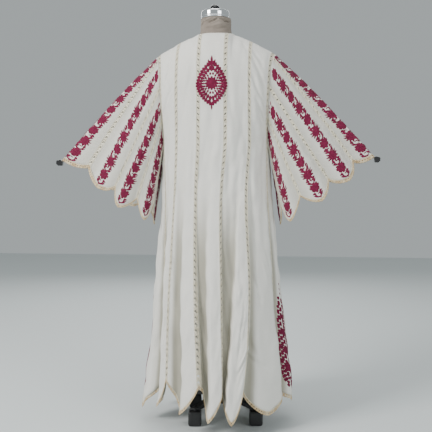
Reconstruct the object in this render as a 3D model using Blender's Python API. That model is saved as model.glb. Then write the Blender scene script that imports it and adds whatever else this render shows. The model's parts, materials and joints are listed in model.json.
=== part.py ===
"""A long cotton robe with wide bell sleeves on a limbless dress form, seen from the back.

Metres, +Z up, origin on the floor under the middle. The robe's back faces +Y and its front -Y.
"u" counts the twelve body gores round the robe: 0 is the centre back, 3 the side at +X, 6 the
centre front and 9 the side at -X. "q" runs down a gore: 0 at neck or shoulder, 1 at the underarm,
2 at the hem. "v" counts the eight sleeve gores: 0 over the arm, 2 behind, 4 under, 6 in front.
"""

from collections import namedtuple
import math

import bmesh
import bpy
from mathutils import Matrix, Vector
import numpy as np

# Driving sizes of the cloth
WALL = 0.0012
GAP = 0.0003
STRIP_WIDTH = 0.011
EDGING_HEIGHT = 0.012
BODY_GORES = 12
SLEEVE_GORES = 8
GORE_COLUMNS = 6
TOP_ROW = 0.0008
UPPER_Q = (TOP_ROW, 0.11, 0.22, 0.36, 0.50, 0.75, 1.0)
LOWER_ROWS = 7
SLEEVE_COLUMNS = 4
SLEEVE_ROWS = 6
GORE_NAMES = (
    "back_centre", "back_inner_plus", "back_outer_plus", "side_plus", "front_outer_plus",
    "front_inner_plus", "front_centre", "front_inner_minus", "front_outer_minus",
    "side_minus", "back_outer_minus", "back_inner_minus",
)
SIDE_GORES = (3, 9)

# Neck and shoulders
NECK_HALF_WIDTH = 0.066
NECK_BACK = 0.060
NECK_FRONT = 0.095
NECK_SIDE_HEIGHT = 1.371
NAPE_DROP = 0.004
THROAT_DROP = 0.120
UNDERARM_HEIGHT = 0.975
CHEST_GORE_WIDTH = 0.085
HEM_GORE_WIDTH = 0.170
HEM_LEVEL = 0.100
SHOULDER_DRAW = 2.4
CHEST_STRIP = STRIP_WIDTH / 2 / CHEST_GORE_WIDTH
CORNER_U = 0.5 + CHEST_STRIP + (1 - 2 * CHEST_STRIP) / GORE_COLUMNS
ARMHOLE_U = 2.5 + CHEST_STRIP

# Across the top edge: gore coordinate and distance from the middle
TOP_EDGE = (
    (0.0, 0.0), (0.5, 0.046), (CORNER_U, NECK_HALF_WIDTH), (1.5, 0.1276), (2.5, 0.207), (ARMHOLE_U, 0.213),
)
# Shoulder line: distance from the middle and height
SHOULDER = (
    (0.066, 1.371), (0.100, 1.357), (0.140, 1.339), (0.180, 1.318), (0.205, 1.303), (0.215, 1.295),
)
# Fullest place of back and front: gore coordinate, then depth and height of the back and of the front
FULLNESS = (
    (0.0, 0.125, 1.215, 0.124, 1.130),
    (0.5, 0.124, 1.210, 0.130, 1.120),
    (1.5, 0.104, 1.180, 0.128, 1.120),
    (2.5, 0.066, 1.140, 0.064, 1.130),
    (ARMHOLE_U, 0.060, 1.140, 0.058, 1.130),
)
FULLNESS_ROW = 0.5

Loop = namedtuple("Loop", "height half_width shift back_depth front_depth")
LOOPS = (
    Loop(0.975, 0.190, 0.000, 0.128, 0.133),
    Loop(0.850, 0.193, -0.002, 0.130, 0.138),
    Loop(0.700, 0.202, -0.005, 0.146, 0.152),
    Loop(0.540, 0.214, -0.008, 0.170, 0.172),
    Loop(0.400, 0.222, -0.010, 0.192, 0.190),
    Loop(0.250, 0.235, -0.013, 0.212, 0.208),
    Loop(0.150, 0.244, -0.012, 0.224, 0.220),
    Loop(0.040, 0.252, -0.004, 0.233, 0.230),
)

# Seam between one gore and the next: its turn from the centre back, in degrees, at four heights,
# the height of the notch at its foot, and the height of the petal tip of the gore before it
SEAM_HEIGHTS = (0.975, 0.800, 0.440, 0.150)
Seam = namedtuple("Seam", "chest waist knee hem notch tip")
SEAMS = (
    Seam(14.3, 17.0, 14.2, 9.0, 0.165, 0.059),
    Seam(42.0, 44.0, 44.3, 39.3, 0.172, 0.072),
    Seam(75.0, 66.0, 61.0, 55.0, 0.155, 0.080),
    Seam(105.0, 101.0, 98.0, 95.0, 0.155, 0.048),
    Seam(138.0, 135.0, 131.0, 128.0, 0.160, 0.062),
    Seam(165.7, 165.0, 163.0, 160.0, 0.160, 0.068),
    Seam(194.3, 195.0, 194.0, 192.0, 0.165, 0.058),
    Seam(222.0, 224.0, 225.0, 223.0, 0.160, 0.066),
    Seam(255.0, 257.0, 256.0, 254.0, 0.155, 0.060),
    Seam(285.0, 288.0, 290.0, 285.0, 0.112, 0.070),
    Seam(318.0, 325.0, 328.0, 336.5, 0.155, 0.062),
    Seam(345.7, 351.0, 352.0, 351.6, 0.140, 0.051),
)

# Standing folds of the skirt: both edges in gore coordinates at the waist and at the hem, how
# softly each edge falls, and how far the fold stands out at the hem
Fold = namedtuple("Fold", "low_waist low_hem high_waist high_hem low_soft high_soft height")
FOLDS = (
    Fold(-2.40, -2.45, -1.70, -1.68, 0.30, 0.22, 0.026),
    Fold(-1.62, -1.52, -1.22, -0.66, 0.16, 0.12, 0.046),
    Fold(-0.52, -0.48, -0.02, 0.10, 0.09, 0.30, 0.048),
    Fold(0.46, 0.48, 1.00, 1.02, 0.09, 0.30, 0.044),
    Fold(1.36, 1.40, 2.05, 2.12, 0.25, 0.28, 0.034),
    Fold(2.70, 2.66, 3.25, 3.34, 0.22, 0.24, 0.040),
    Fold(3.66, 3.72, 4.22, 4.32, 0.22, 0.16, 0.044),
    Fold(4.62, 4.66, 5.20, 5.28, 0.14, 0.26, 0.040),
    Fold(5.60, 5.66, 6.30, 6.36, 0.24, 0.20, 0.048),
    Fold(6.66, 6.72, 7.22, 7.30, 0.14, 0.28, 0.042),
    Fold(7.70, 7.72, 8.30, 8.36, 0.26, 0.14, 0.046),
    Fold(8.70, 8.66, 9.26, 9.30, 0.24, 0.22, 0.036),
)
FOLD_REST = 0.022
FOLD_GROWTH = 1.3
FOLD_WAIST = 0.80
FOLD_HEM = 0.10

# Sleeve ends: tip of each petal from over the arm round the back to underneath; the front is alike
Tip = namedtuple("Tip", "plus_reach plus_height minus_reach minus_height depth")
TIPS = (
    Tip(0.573, 0.917, 0.560, 0.924, 0.000),
    Tip(0.424, 0.820, 0.472, 0.845, 0.052),
    Tip(0.338, 0.757, 0.378, 0.781, 0.082),
    Tip(0.246, 0.718, 0.270, 0.716, 0.078),
    Tip(0.226, 0.700, 0.230, 0.702, 0.000),
)
SLEEVE_LENGTH = 0.470
SLEEVE_GORE_TOP = 0.088
SLEEVE_GORE_END = 0.125
SLEEVE_NOTCH = 0.050
SLEEVE_FLUTE = 0.009
SLEEVE_LIFT = 0.012
# Sleeve coordinate at which the back's part of the armhole ends and the underarm's begins
ARMHOLE_TURN = 3.5

# Dress form and stand
FORM_INSET = 0.0016
FORM_SLACK = 0.024
NECK_SLACK = (0.0015, 0.0115)
NECK_SHRINK = (0.10, 0.09, 0.0)
THROAT_SHRINK = (0.22, 0.16, 0.0)
NECK_SINK = 0.0065
BINDING_RADIUS = 0.0018
BINDING_CLEARANCE = 0.0009
BINDING_SIDES = 8
ARMHOLE_BULGE = 0.10
FormLoop = namedtuple("FormLoop", "height half_width depth")
FORM_LOOPS = (
    FormLoop(0.900, 0.155, 0.106),
    FormLoop(0.800, 0.150, 0.104),
    FormLoop(0.690, 0.160, 0.112),
    FormLoop(0.590, 0.163, 0.116),
    FormLoop(0.515, 0.158, 0.112),
    FormLoop(0.500, 0.146, 0.100),
)
FORM_NECK_LINES = (0.0, 0.15, 0.29, 0.44, 0.50, 0.57, CORNER_U)
FORM_SHOULDER_LINES = (0.86, 1.0, 1.15, 1.29, 1.44, 1.57, 1.71, 1.86, 2.0, 2.15, 2.29, 2.44)
NECK_LOOPS = (
    FormLoop(1.366, 0.0585, 0.0530),
    FormLoop(1.390, 0.0550, 0.0505),
    FormLoop(1.4300, 0.0537, 0.0500),
)
CAP_X = 0.003
CAP_RADIUS = 0.050
CAP_HEIGHT = 0.0287
CAP_DISH = 0.009
CAP_LIP = 0.008
CAP_ROUNDING = 0.003
KNOB_X = 0.004
KNOB_RADIUS = 0.018
KNOB_TOP = 1.484
KNOB_STEPS = 9
STAND_X = -0.028
STAND_Y = -0.024
STAND_TURN = 8.0
POLE_RADIUS = 0.0125
POLE_FOOT = 0.1203
POLE_FLANGE = 0.010
FLANGE_HEIGHT = 0.012
HUB_RADIUS = 0.032
HUB_LOW = 0.050
HUB_TOP = 0.120
HUB_CHAMFER = (0.010, 0.020)
FOOT_REACH = 0.150
FOOT_WIDTH = 0.046
FOOT_HEIGHT = 0.052
FOOT_BEVEL = 0.007
LEG_WIDTH = 0.026
LEG_HEIGHT = 0.024
LEG_RISE = 0.016
LEG_CLEARANCE = 0.0026
LEG_HEEL = 0.012
LEG_TOE = 0.010
CLIP_WIDTH = 0.024
CLIP_JAW = 0.006
CLIP_RIDGE = 0.012
CLIP_RIDGE_REACH = 0.014
CLIP_GRIP = 0.005
CLIP_REACH = 0.023

# Colours, roughness and metallic value
COTTON = ((0.80, 0.78, 0.72), 0.85, 0.0)
CROCHET = ((0.78, 0.70, 0.52), 0.80, 0.0)
JERSEY = ((0.42, 0.37, 0.33), 0.90, 0.0)
CHROME = ((0.80, 0.80, 0.82), 0.08, 1.0)
GLOSS_BLACK = ((0.01, 0.01, 0.01), 0.08, 0.0)
STAND_BLACK = ((0.02, 0.02, 0.02), 0.35, 0.0)


def column(table, place):
    """One column of a table as an array."""
    return np.array([row[place] for row in table], float)


def smooth_read(x, knots, values):
    """Value at x on a smooth curve through the knots: cubic pieces whose slopes are the means
    of the chords on both sides, set to zero where the chords change sign."""
    knots = np.asarray(knots, float)
    values = np.asarray(values, float)
    if knots[0] > knots[-1]:
        knots = knots[::-1]
        values = values[::-1]
    chord = np.diff(values) / np.diff(knots)
    slope = np.empty_like(values)
    slope[0] = chord[0]
    slope[-1] = chord[-1]
    turn = chord[:-1] * chord[1:] <= 0
    slope[1:-1] = np.where(turn, 0.0, (chord[:-1] + chord[1:]) / 2)
    x = np.clip(x, knots[0], knots[-1])
    k = np.clip(np.searchsorted(knots, x, side="right") - 1, 0, len(knots) - 2)
    width = knots[k + 1] - knots[k]
    t = (x - knots[k]) / width
    start = (1 + 2 * t) * (1 - t) ** 2 * values[k] + t * (1 - t) ** 2 * width * slope[k]
    end = t**2 * (3 - 2 * t) * values[k + 1] + t**2 * (t - 1) * width * slope[k + 1]
    return start + end


def smooth_step(x):
    """0 below 0, 1 above 1, and a soft rise between."""
    x = np.clip(x, 0.0, 1.0)
    return x * x * (3 - 2 * x)


def unit(vectors):
    """Vectors of length one."""
    return vectors / np.maximum(np.linalg.norm(vectors, axis=-1, keepdims=True), 1e-12)


def strip_half(q):
    """Half of an insertion strip's width in gore coordinates, at a row."""
    width = CHEST_GORE_WIDTH + (HEM_GORE_WIDTH - CHEST_GORE_WIDTH) * np.clip(q - 1, 0, 1)
    return STRIP_WIDTH / 2 / width


def sleeve_strip_half(s):
    """The same for a sleeve's strips, which stay as wide while the gores widen to their end."""
    top = STRIP_WIDTH / 2 / SLEEVE_GORE_TOP
    end = STRIP_WIDTH / 2 / SLEEVE_GORE_END
    return top + (end - top) * s


def turn_of(u, z):
    """Turn from the centre back, in radians, of gore coordinate u at height z."""
    lap = np.floor((u - 0.5) / BODY_GORES)
    place = (u - 0.5) - lap * BODY_GORES
    low = np.floor(place).astype(int) % BODY_GORES
    part = place - np.floor(place)
    readings = [smooth_read(z, SEAM_HEIGHTS, seam[:4]) for seam in SEAMS]
    readings.append(readings[0] + 360.0)
    readings = np.array(readings)
    before = np.take_along_axis(readings, low[None], 0)[0]
    after = np.take_along_axis(readings, low[None] + 1, 0)[0]
    return np.radians(before + (after - before) * part + 360.0 * lap)


def loop_point(u, z, inset=0.0):
    """Point of the smooth loop round the robe at height z, without folds."""
    heights = column(LOOPS, 0)
    turn = turn_of(u, z)
    half_width = smooth_read(z, heights, column(LOOPS, 1)) - inset
    shift = smooth_read(z, heights, column(LOOPS, 2))
    back = smooth_read(z, heights, column(LOOPS, 3)) - inset
    front = smooth_read(z, heights, column(LOOPS, 4)) - inset
    depth = np.where(np.cos(turn) > 0, back, front)
    return np.stack([shift + half_width * np.sin(turn), depth * np.cos(turn), z], -1), turn


def fold_height(u, z):
    """How far the folds push the cloth out at gore coordinate u and height z."""
    down = np.clip((FOLD_WAIST - z) / (FOLD_WAIST - FOLD_HEM), 0, 1)
    total = np.zeros(np.broadcast(u, z).shape)
    for fold in FOLDS:
        low = fold.low_waist + (fold.low_hem - fold.low_waist) * down
        high = fold.high_waist + (fold.high_hem - fold.high_waist) * down
        place = low - 1.0 + np.mod(u - low + 1.0, BODY_GORES)
        ridge = smooth_step((place - low) / fold.low_soft + 0.5)
        ridge = ridge * smooth_step((high - place) / fold.high_soft + 0.5)
        total = total + fold.height * ridge
    growth = np.clip((UNDERARM_HEIGHT - z) / (UNDERARM_HEIGHT - FOLD_HEM), 0, 1) ** FOLD_GROWTH
    return (total - FOLD_REST) * growth


def petal(w):
    """Outline of a petal across its gore: 0 at both seams, 1 at the slightly pointed tip."""
    off = np.abs(2 * w - 1)
    return 0.75 * (1 - off**2) + 0.25 * (1 - off)


def hem_height(u):
    """Height of the hem's edge: notches at the seams, petal tips between them."""
    place = np.mod(u + 0.5, BODY_GORES)
    gore = np.floor(place).astype(int) % BODY_GORES
    w = place - np.floor(place)
    notch = column(SEAMS, 4)
    tip = column(SEAMS, 5)
    level = notch[gore - 1] + (notch[gore] - notch[gore - 1]) * w
    return level + (tip[gore] - level) * petal(w)


def top_point(across, front):
    """Point of the top edge: neck curve in the middle, shoulder line further out."""
    x = np.interp(across, column(TOP_EDGE, 0), column(TOP_EDGE, 1))
    ring = np.sqrt(np.clip(1 - (x / NECK_HALF_WIDTH) ** 2, 0, 1))
    y = np.where(front, -NECK_FRONT, NECK_BACK) * ring
    drop = np.where(front, THROAT_DROP * ring**1.3, NAPE_DROP * ring)
    shoulder = smooth_read(x, column(SHOULDER, 0), column(SHOULDER, 1))
    z = np.where(x <= NECK_HALF_WIDTH, NECK_SIDE_HEIGHT - drop, shoulder)
    return x, y, z


def upper_point(u, q):
    """Back or front above the underarm: a quarter ellipse over the shoulder, then down."""
    round_u = np.mod(u + 3.0, BODY_GORES) - 3.0
    front = round_u > 3.0
    place = np.where(front, 6.0 - round_u, round_u)
    across = np.abs(place)
    side = np.where(place < 0, -1.0, 1.0)
    x_top, y_top, z_top = top_point(across, front)
    knots = column(FULLNESS, 0)
    y_full = np.where(
        front,
        -smooth_read(across, knots, column(FULLNESS, 3)),
        smooth_read(across, knots, column(FULLNESS, 1)),
    )
    z_full = np.where(
        front,
        smooth_read(across, knots, column(FULLNESS, 4)),
        smooth_read(across, knots, column(FULLNESS, 2)),
    )
    under, _ = loop_point(u, np.full(np.broadcast(u, q).shape, UNDERARM_HEIGHT))
    angle = np.pi / 2 * np.clip(q / FULLNESS_ROW, 0, 1)
    down = np.clip((q - FULLNESS_ROW) / (1 - FULLNESS_ROW), 0, 1)
    y = y_top + (y_full - y_top) * np.sin(angle) + (under[..., 1] - y_full) * smooth_step(down)
    z = z_top - (z_top - z_full) * (1 - np.cos(angle)) + (UNDERARM_HEIGHT - z_full) * down
    x = under[..., 0] + (side * x_top - under[..., 0]) * (1 - q) ** SHOULDER_DRAW
    return np.stack([x, y, z], -1)


def lower_point(u, q):
    """Skirt below the underarm: the smooth loop pushed out by the folds."""
    z = UNDERARM_HEIGHT + (hem_height(u) - UNDERARM_HEIGHT) * (q - 1)
    point, turn = loop_point(u, z)
    push = fold_height(u, z)
    outward = np.stack([np.sin(turn), np.cos(turn), np.zeros_like(turn)], -1)
    return point + outward * push[..., None]


def robe_point(u, q):
    """Middle surface of the robe's body at gore coordinate u and row q."""
    u, q = np.broadcast_arrays(np.asarray(u, float), np.asarray(q, float))
    upper = upper_point(u, np.clip(q, 0, 1))
    lower = lower_point(u, np.clip(q, 1, 2.2))
    return np.where((q < 1)[..., None], upper, lower)


def normals_of(surface, a, b, flip=False, reach=0.004):
    """Outward direction of a surface at its parameters, from points a little to each side."""
    step = 1e-4
    low = np.where(b < 1, np.minimum(b, 1 - 2 * step), b)
    low = np.maximum(low, step)
    along = surface(a + reach, low) - surface(a - reach, low)
    down = surface(a, low + step) - surface(a, low - step)
    return unit(np.cross(down, along) if flip else np.cross(along, down))


def robe_normals(u, q):
    """Outward directions of the body, read over a wider stretch round neck and shoulders."""
    return normals_of(robe_point, u, q, reach=np.where(np.asarray(q) < 1, 0.04, 0.004))


def material_for(name, finish):
    """A Principled material with one colour, roughness and metallic value."""
    colour, roughness, metallic = finish
    material = bpy.data.materials.new(name)
    material.use_nodes = True
    shader = material.node_tree.nodes["Principled BSDF"]
    shader.inputs["Base Color"].default_value = (*colour, 1.0)
    shader.inputs["Roughness"].default_value = roughness
    shader.inputs["Metallic"].default_value = metallic
    material.diffuse_color = (*colour, 1.0)
    return material


def object_from(name, shape, finish, smooth=40.0):
    """An object from a bmesh, with its faces turned outwards."""
    bmesh.ops.recalc_face_normals(shape, faces=shape.faces)
    if shape.calc_volume(signed=True) < 0:
        bmesh.ops.reverse_faces(shape, faces=shape.faces)
    mesh = bpy.data.meshes.new(name)
    shape.to_mesh(mesh)
    shape.free()
    mesh.materials.append(material_for(name, finish))
    mesh.shade_smooth()
    mesh.set_sharp_from_angle(angle=math.radians(smooth))
    made = bpy.data.objects.new(name, mesh)
    bpy.context.scene.collection.objects.link(made)
    return made


def cloth_wall(name, points, normals, keep, finish, wrap=False):
    """A closed cloth wall over the kept cells of a grid: every point goes half a wall out and
    half a wall in. Each kept cell is split along the same diagonal outside and inside, so that a
    twisted cell keeps its thickness, and each free edge gets two side faces, split the same way
    on both sides of a seam."""
    rows, columns = points.shape[:2]
    outer = points + normals * WALL / 2
    inner = points - normals * WALL / 2
    shape = bmesh.new()
    made = {}

    def corner(layer, row, place):
        key = (layer, row, place % columns if wrap else place)
        if key not in made:
            source = outer if layer else inner
            made[key] = shape.verts.new(source[key[1], key[2]])
        return made[key]

    def kept(row, place):
        if wrap:
            place = place % columns
        inside = 0 <= row < keep.shape[0] and 0 <= place < keep.shape[1]
        return inside and keep[row, place]

    for row in range(keep.shape[0]):
        for place in range(keep.shape[1]):
            if not keep[row, place]:
                continue
            ring = ((row, place), (row, place + 1), (row + 1, place + 1), (row + 1, place))
            for half in ((ring[0], ring[1], ring[2]), (ring[0], ring[2], ring[3])):
                shape.faces.new([corner(1, *at) for at in half])
                shape.faces.new([corner(0, *at) for at in reversed(half)])
            beside = ((row - 1, place), (row, place + 1), (row + 1, place), (row, place - 1))
            for edge, cell in enumerate(beside):
                if kept(*cell):
                    continue
                start, end = sorted((ring[edge], ring[(edge + 1) % 4]))
                shape.faces.new((corner(1, *start), corner(1, *end), corner(0, *end)))
                shape.faces.new((corner(1, *start), corner(0, *end), corner(0, *start)))
    return object_from(name, shape, finish)


def edging_share(height):
    """The part of the skirt's row coordinate that a height above the hem takes."""
    return height / (UNDERARM_HEIGHT - HEM_LEVEL)


def trim_rows():
    """Row coordinates down the body: over the shoulder, down the skirt, and the hem's edge."""
    lower = np.linspace(1.0, 2.0 - edging_share(EDGING_HEIGHT), LOWER_ROWS + 1)
    return np.concatenate([UPPER_Q, lower[1:], [2.0]])


def body_gores():
    """The twelve gores of back, sides and front, each between two insertion strips."""
    for gore, name in enumerate(GORE_NAMES):
        rows = trim_rows()[:-1]
        if gore in SIDE_GORES:
            rows = rows[len(UPPER_Q) - 1 :]
        w = np.linspace(0, 1, GORE_COLUMNS + 1)
        rows, w = np.meshgrid(rows, w, indexing="ij")
        half = strip_half(rows)
        u = gore - 0.5 + half + w * (1 - 2 * half)
        normals = robe_normals(u, rows)
        gap = half * 2 * GAP / STRIP_WIDTH
        u = u + gap * ((w == 0).astype(float) - (w == 1))
        rows = rows.copy()
        rows[-1] = rows[-1] - edging_share(2 * GAP)
        points = robe_point(u, rows)
        keep = np.ones((points.shape[0] - 1, points.shape[1] - 1), bool)
        cloth_wall(f"gore_{name}", points, normals, keep, COTTON)


def body_trim():
    """The twelve insertion strips and the hem's edging, which joins them, in one piece."""
    rows = trim_rows()
    between = GORE_COLUMNS - 1
    per_seam = between + 2
    count = per_seam * BODY_GORES
    u = np.zeros((len(rows), count))
    keep = np.zeros((len(rows) - 1, count), bool)
    half = strip_half(rows)
    for seam in range(BODY_GORES):
        first = seam * per_seam
        u[:, first] = seam + 0.5 - half
        u[:, first + 1] = seam + 0.5 + half
        for step in range(between):
            part = (step + 1) / (between + 1)
            u[:, first + 2 + step] = seam + 0.5 + half + part * (1 - 2 * half)
        keep[:, first] = True
    keep[-1, :] = True
    rows = np.broadcast_to(rows[:, None], u.shape)
    points = robe_point(u, rows)
    normals = robe_normals(u, rows)
    cloth_wall("trim_body", points, normals, keep, CROCHET, wrap=True)


def armhole_point(v, side):
    """Edge of the armhole at sleeve coordinate v, and the body's outward direction there."""
    v = np.mod(v, SLEEVE_GORES)
    folded = np.minimum(v, SLEEVE_GORES - v)
    front = v > SLEEVE_GORES / 2
    q = np.clip(folded / ARMHOLE_TURN, TOP_ROW, 1.0)
    under = np.clip((folded - ARMHOLE_TURN) / (SLEEVE_GORES / 2 - ARMHOLE_TURN), 0, 1)
    u = ARMHOLE_U + (3.0 - ARMHOLE_U) * under
    u = np.where(front, 6.0 - u, u)
    u = u if side > 0 else -u
    return robe_point(u, q), robe_normals(u, np.minimum(q, 0.9995))


def sleeve_end(v, side):
    """Edge of the sleeve's end without its notches: a smooth curve through the petal tips."""
    v = np.mod(v, SLEEVE_GORES)
    folded = np.minimum(v, SLEEVE_GORES - v)
    front = np.where(v > SLEEVE_GORES / 2, -1.0, 1.0)
    places = np.arange(len(TIPS), dtype=float)
    first = 0 if side > 0 else 2
    x = side * smooth_read(folded, places, column(TIPS, first))
    z = smooth_read(folded, places, column(TIPS, first + 1))
    y = front * smooth_read(folded, places, column(TIPS, 4))
    return np.stack([x, y, z], -1)


def sleeve_surface(side):
    """The function of v and s that gives the middle surface of one sleeve: straight lines from
    armhole to petal edge, lifted a little over the arm and fluted outwards at each gore."""

    def base(v, s):
        start, outward = armhole_point(v, side)
        start = start + outward * (WALL + 2 * GAP)
        end = sleeve_end(v, side)
        w = np.mod(v + 0.5, 1.0)
        reach = unit(end - start)
        end = end - reach * (SLEEVE_NOTCH * (1 - petal(w)))[..., None]
        lift = SLEEVE_LIFT * np.sin(np.pi * np.clip(s, 0, 1)) * np.cos(np.pi * v / 4) ** 2
        lift = np.where(np.cos(np.pi * v / 4) > 0, lift, -lift * 0.3)
        point = start + (end - start) * s[..., None]
        return point + np.stack([np.zeros_like(lift), np.zeros_like(lift), lift], -1)

    def fluted(v, s):
        v, s = np.broadcast_arrays(np.asarray(v, float), np.asarray(s, float))
        point = base(v, s)
        spin = unit(np.stack([0 * v, np.sin(np.pi * v / 4), np.cos(np.pi * v / 4)], -1))
        flute = SLEEVE_FLUTE * np.clip(s, 0, 1.1) ** 1.2 * np.cos(2 * np.pi * v)
        return point + spin * flute[..., None]

    return fluted


def sleeve_gores(side, mark):
    """Eight gores of one sleeve, each between two insertion strips."""
    surface = sleeve_surface(side)
    spread = np.linspace(0, 1, SLEEVE_ROWS + 1)
    edging = EDGING_HEIGHT / SLEEVE_LENGTH
    for gore in range(SLEEVE_GORES):
        w = np.linspace(0, 1, SLEEVE_COLUMNS + 1)
        s, w = np.meshgrid((1 - edging) * spread, w, indexing="ij")
        margin = sleeve_strip_half(s)
        v = gore - 0.5 + margin + w * (1 - 2 * margin)
        normals = normals_of(surface, v, s, flip=side > 0)
        gap = margin * 2 * GAP / STRIP_WIDTH
        v = v + gap * ((w == 0).astype(float) - (w == 1))
        s = s.copy()
        s[-1] = s[-1] - 1.5 * GAP / SLEEVE_LENGTH
        points = surface(v, s)
        keep = np.ones((points.shape[0] - 1, points.shape[1] - 1), bool)
        cloth_wall(f"sleeve_{mark}_{gore}", points, normals, keep, COTTON)


def sleeve_trim(side, mark):
    """One sleeve's eight insertion strips and the edging of its end, in one piece."""
    surface = sleeve_surface(side)
    spread = np.linspace(0, 1, SLEEVE_ROWS + 1)
    rows = np.concatenate([(1 - EDGING_HEIGHT / SLEEVE_LENGTH) * spread, [1.0]])
    per_seam = SLEEVE_COLUMNS + 1
    count = per_seam * SLEEVE_GORES
    v = np.zeros((len(rows), count))
    keep = np.zeros((len(rows) - 1, count), bool)
    margin = sleeve_strip_half(rows)
    for seam in range(SLEEVE_GORES):
        first = seam * per_seam
        v[:, first] = seam + 0.5 - margin
        v[:, first + 1] = seam + 0.5 + margin
        for step in range(SLEEVE_COLUMNS - 1):
            part = (step + 1) / SLEEVE_COLUMNS
            v[:, first + 2 + step] = seam + 0.5 + margin + part * (1 - 2 * margin)
        keep[:, first] = True
    keep[-1, :] = True
    s = np.broadcast_to(rows[:, None], v.shape)
    points = surface(v, s)
    normals = normals_of(surface, v, s, flip=side > 0)
    cloth_wall(f"trim_sleeve_{mark}", points, normals, keep, CROCHET, wrap=True)


def neck_binding():
    """A round binding that follows the neck's edge, just inside it."""
    radius = BINDING_RADIUS
    gore = np.linspace(-0.5 + CHEST_STRIP, 0.5 - CHEST_STRIP, GORE_COLUMNS + 1)
    beside = 0.5 + CHEST_STRIP
    lines = np.concatenate([[-CORNER_U, -beside], gore, [beside, CORNER_U]])
    u = np.concatenate([lines, 6 + lines[1:-1]])
    q = np.full_like(u, TOP_ROW)
    edge = robe_point(u, q)
    outward = robe_normals(u, q)
    along = unit(np.roll(edge, -1, 0) - np.roll(edge, 1, 0))
    inward = unit(np.cross(along, outward))
    centre = edge + outward * (radius - WALL / 2) + inward * (radius + BINDING_CLEARANCE)
    first = unit(outward - along * np.sum(outward * along, -1, keepdims=True))
    second = np.cross(along, first)
    shape = bmesh.new()
    rings = []
    for place in range(len(u)):
        ring = []
        for step in range(BINDING_SIDES):
            angle = 2 * math.pi * step / BINDING_SIDES
            aside = math.cos(angle) * first[place] + math.sin(angle) * second[place]
            ring.append(shape.verts.new(centre[place] + radius * aside))
        rings.append(ring)
    join_rings(shape, rings, closed=True)
    object_from("neck_binding", shape, COTTON)


def join_rings(shape, rings, closed=False):
    """Faces between each ring of corners and the next."""
    pairs = list(zip(rings, rings[1:]))
    if closed:
        pairs.append((rings[-1], rings[0]))
    for low, high in pairs:
        for step in range(len(low)):
            after = (step + 1) % len(low)
            corners = (low[step], low[after], high[after], high[step])
            shape.faces.new(corners)


def form_shoulder_rows():
    """Rings of the form under the robe's back and front, from the shoulders to the chest."""
    half = np.concatenate([FORM_NECK_LINES, FORM_SHOULDER_LINES])
    back = np.concatenate([-half[::-1], half[1:]])
    front = 6.0 + np.concatenate([-half[::-1], half[1:]])
    rows = []
    for q in (0.0, *UPPER_Q[1:]):
        sheets = []
        for u in (back, front):
            place = np.full_like(u, max(q, 0.0005))
            normal = robe_normals(u, np.full_like(u, min(max(q, 0.002), 0.999)))
            spread = np.abs(np.abs(np.mod(u + 3, 12) - 3) - np.where(u > 3, 6, 0))
            slack = FORM_INSET + FORM_SLACK * smooth_step(q) * (0.35 + 0.65 * smooth_step(spread / 2.4))
            throat = NECK_SLACK[1 if u[0] > 3 else 0] * smooth_step((1.25 - spread) / 0.5)
            throat = throat * smooth_step(1.6 - q * 2)
            point = robe_point(u, place) - normal * (slack + throat)[..., None]
            if q == 0.0:
                neck = smooth_step((CORNER_U + 0.10 - spread) / 0.10)[:, None]
                shrink = np.array(THROAT_SHRINK if u[0] > 3 else NECK_SHRINK)
                point = point * (1 - neck * shrink) - neck * np.array([0.0, 0.0, NECK_SINK])
            if q == 0.0:
                flat = spread >= CORNER_U - 1e-9
                point[flat, 1] = 0.0
                if sheets:
                    point[flat] = sheets[0][::-1][flat]
            sheets.append(point)
        rows.append(sheets)
    return rows


def dress_form():
    """Torso and neck in one smooth closed body, just under the cloth at the shoulders."""
    shape = bmesh.new()
    rows = form_shoulder_rows()
    rings = []
    for back, front in rows:
        ring = []
        for start, stop in ((back, front), (front, back)):
            ring.extend(shape.verts.new(point) for point in start)
            low = start[-1]
            high = stop[0]
            for part in (1 / 3, 2 / 3):
                middle = low + (high - low) * part
                bulge = ARMHOLE_BULGE * abs(high[1] - low[1]) * math.copysign(1, low[0])
                middle = middle + np.array([bulge, 0.0, 0.0])
                ring.append(shape.verts.new(middle))
        rings.append(ring)
    join_rings(shape, rings)
    chest = rings[-1]
    angles = [math.atan2(corner.co.x, corner.co.y) for corner in chest]
    last = chest
    for loop in FORM_LOOPS:
        ring = []
        for angle in angles:
            spot = (loop.half_width * math.sin(angle), loop.depth * math.cos(angle), loop.height)
            ring.append(shape.verts.new(spot))
        join_rings(shape, [last, ring])
        last = ring
    shape.faces.new(last)
    top = rings[0]
    half = len(top) // 2
    middle = (half - 2) // 2
    reach = len(FORM_NECK_LINES) - 1
    back_neck = top[middle - reach : middle + reach + 1]
    front_neck = top[half + middle - reach : half + middle + reach + 1]
    neck = list(back_neck) + list(front_neck)[1:-1]
    bmesh.ops.weld_verts(shape, targetmap={
        front_neck[0]: back_neck[-1],
        front_neck[-1]: back_neck[0],
    })
    bmesh.ops.remove_doubles(shape, verts=[v for v in top if v.is_valid and v not in neck], dist=1e-6)
    last = neck
    angles = [math.atan2(corner.co.x, corner.co.y) for corner in neck]
    for loop in NECK_LOOPS:
        ring = []
        for angle in angles:
            spot = (loop.half_width * math.sin(angle), loop.depth * math.cos(angle), loop.height)
            ring.append(shape.verts.new(spot))
        join_rings(shape, [last, ring])
        last = ring
    shape.faces.new(last)
    bmesh.ops.remove_doubles(shape, verts=shape.verts, dist=1e-6)
    bmesh.ops.dissolve_degenerate(shape, edges=shape.edges, dist=1e-6)
    object_from("dress_form", shape, JERSEY)


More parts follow.
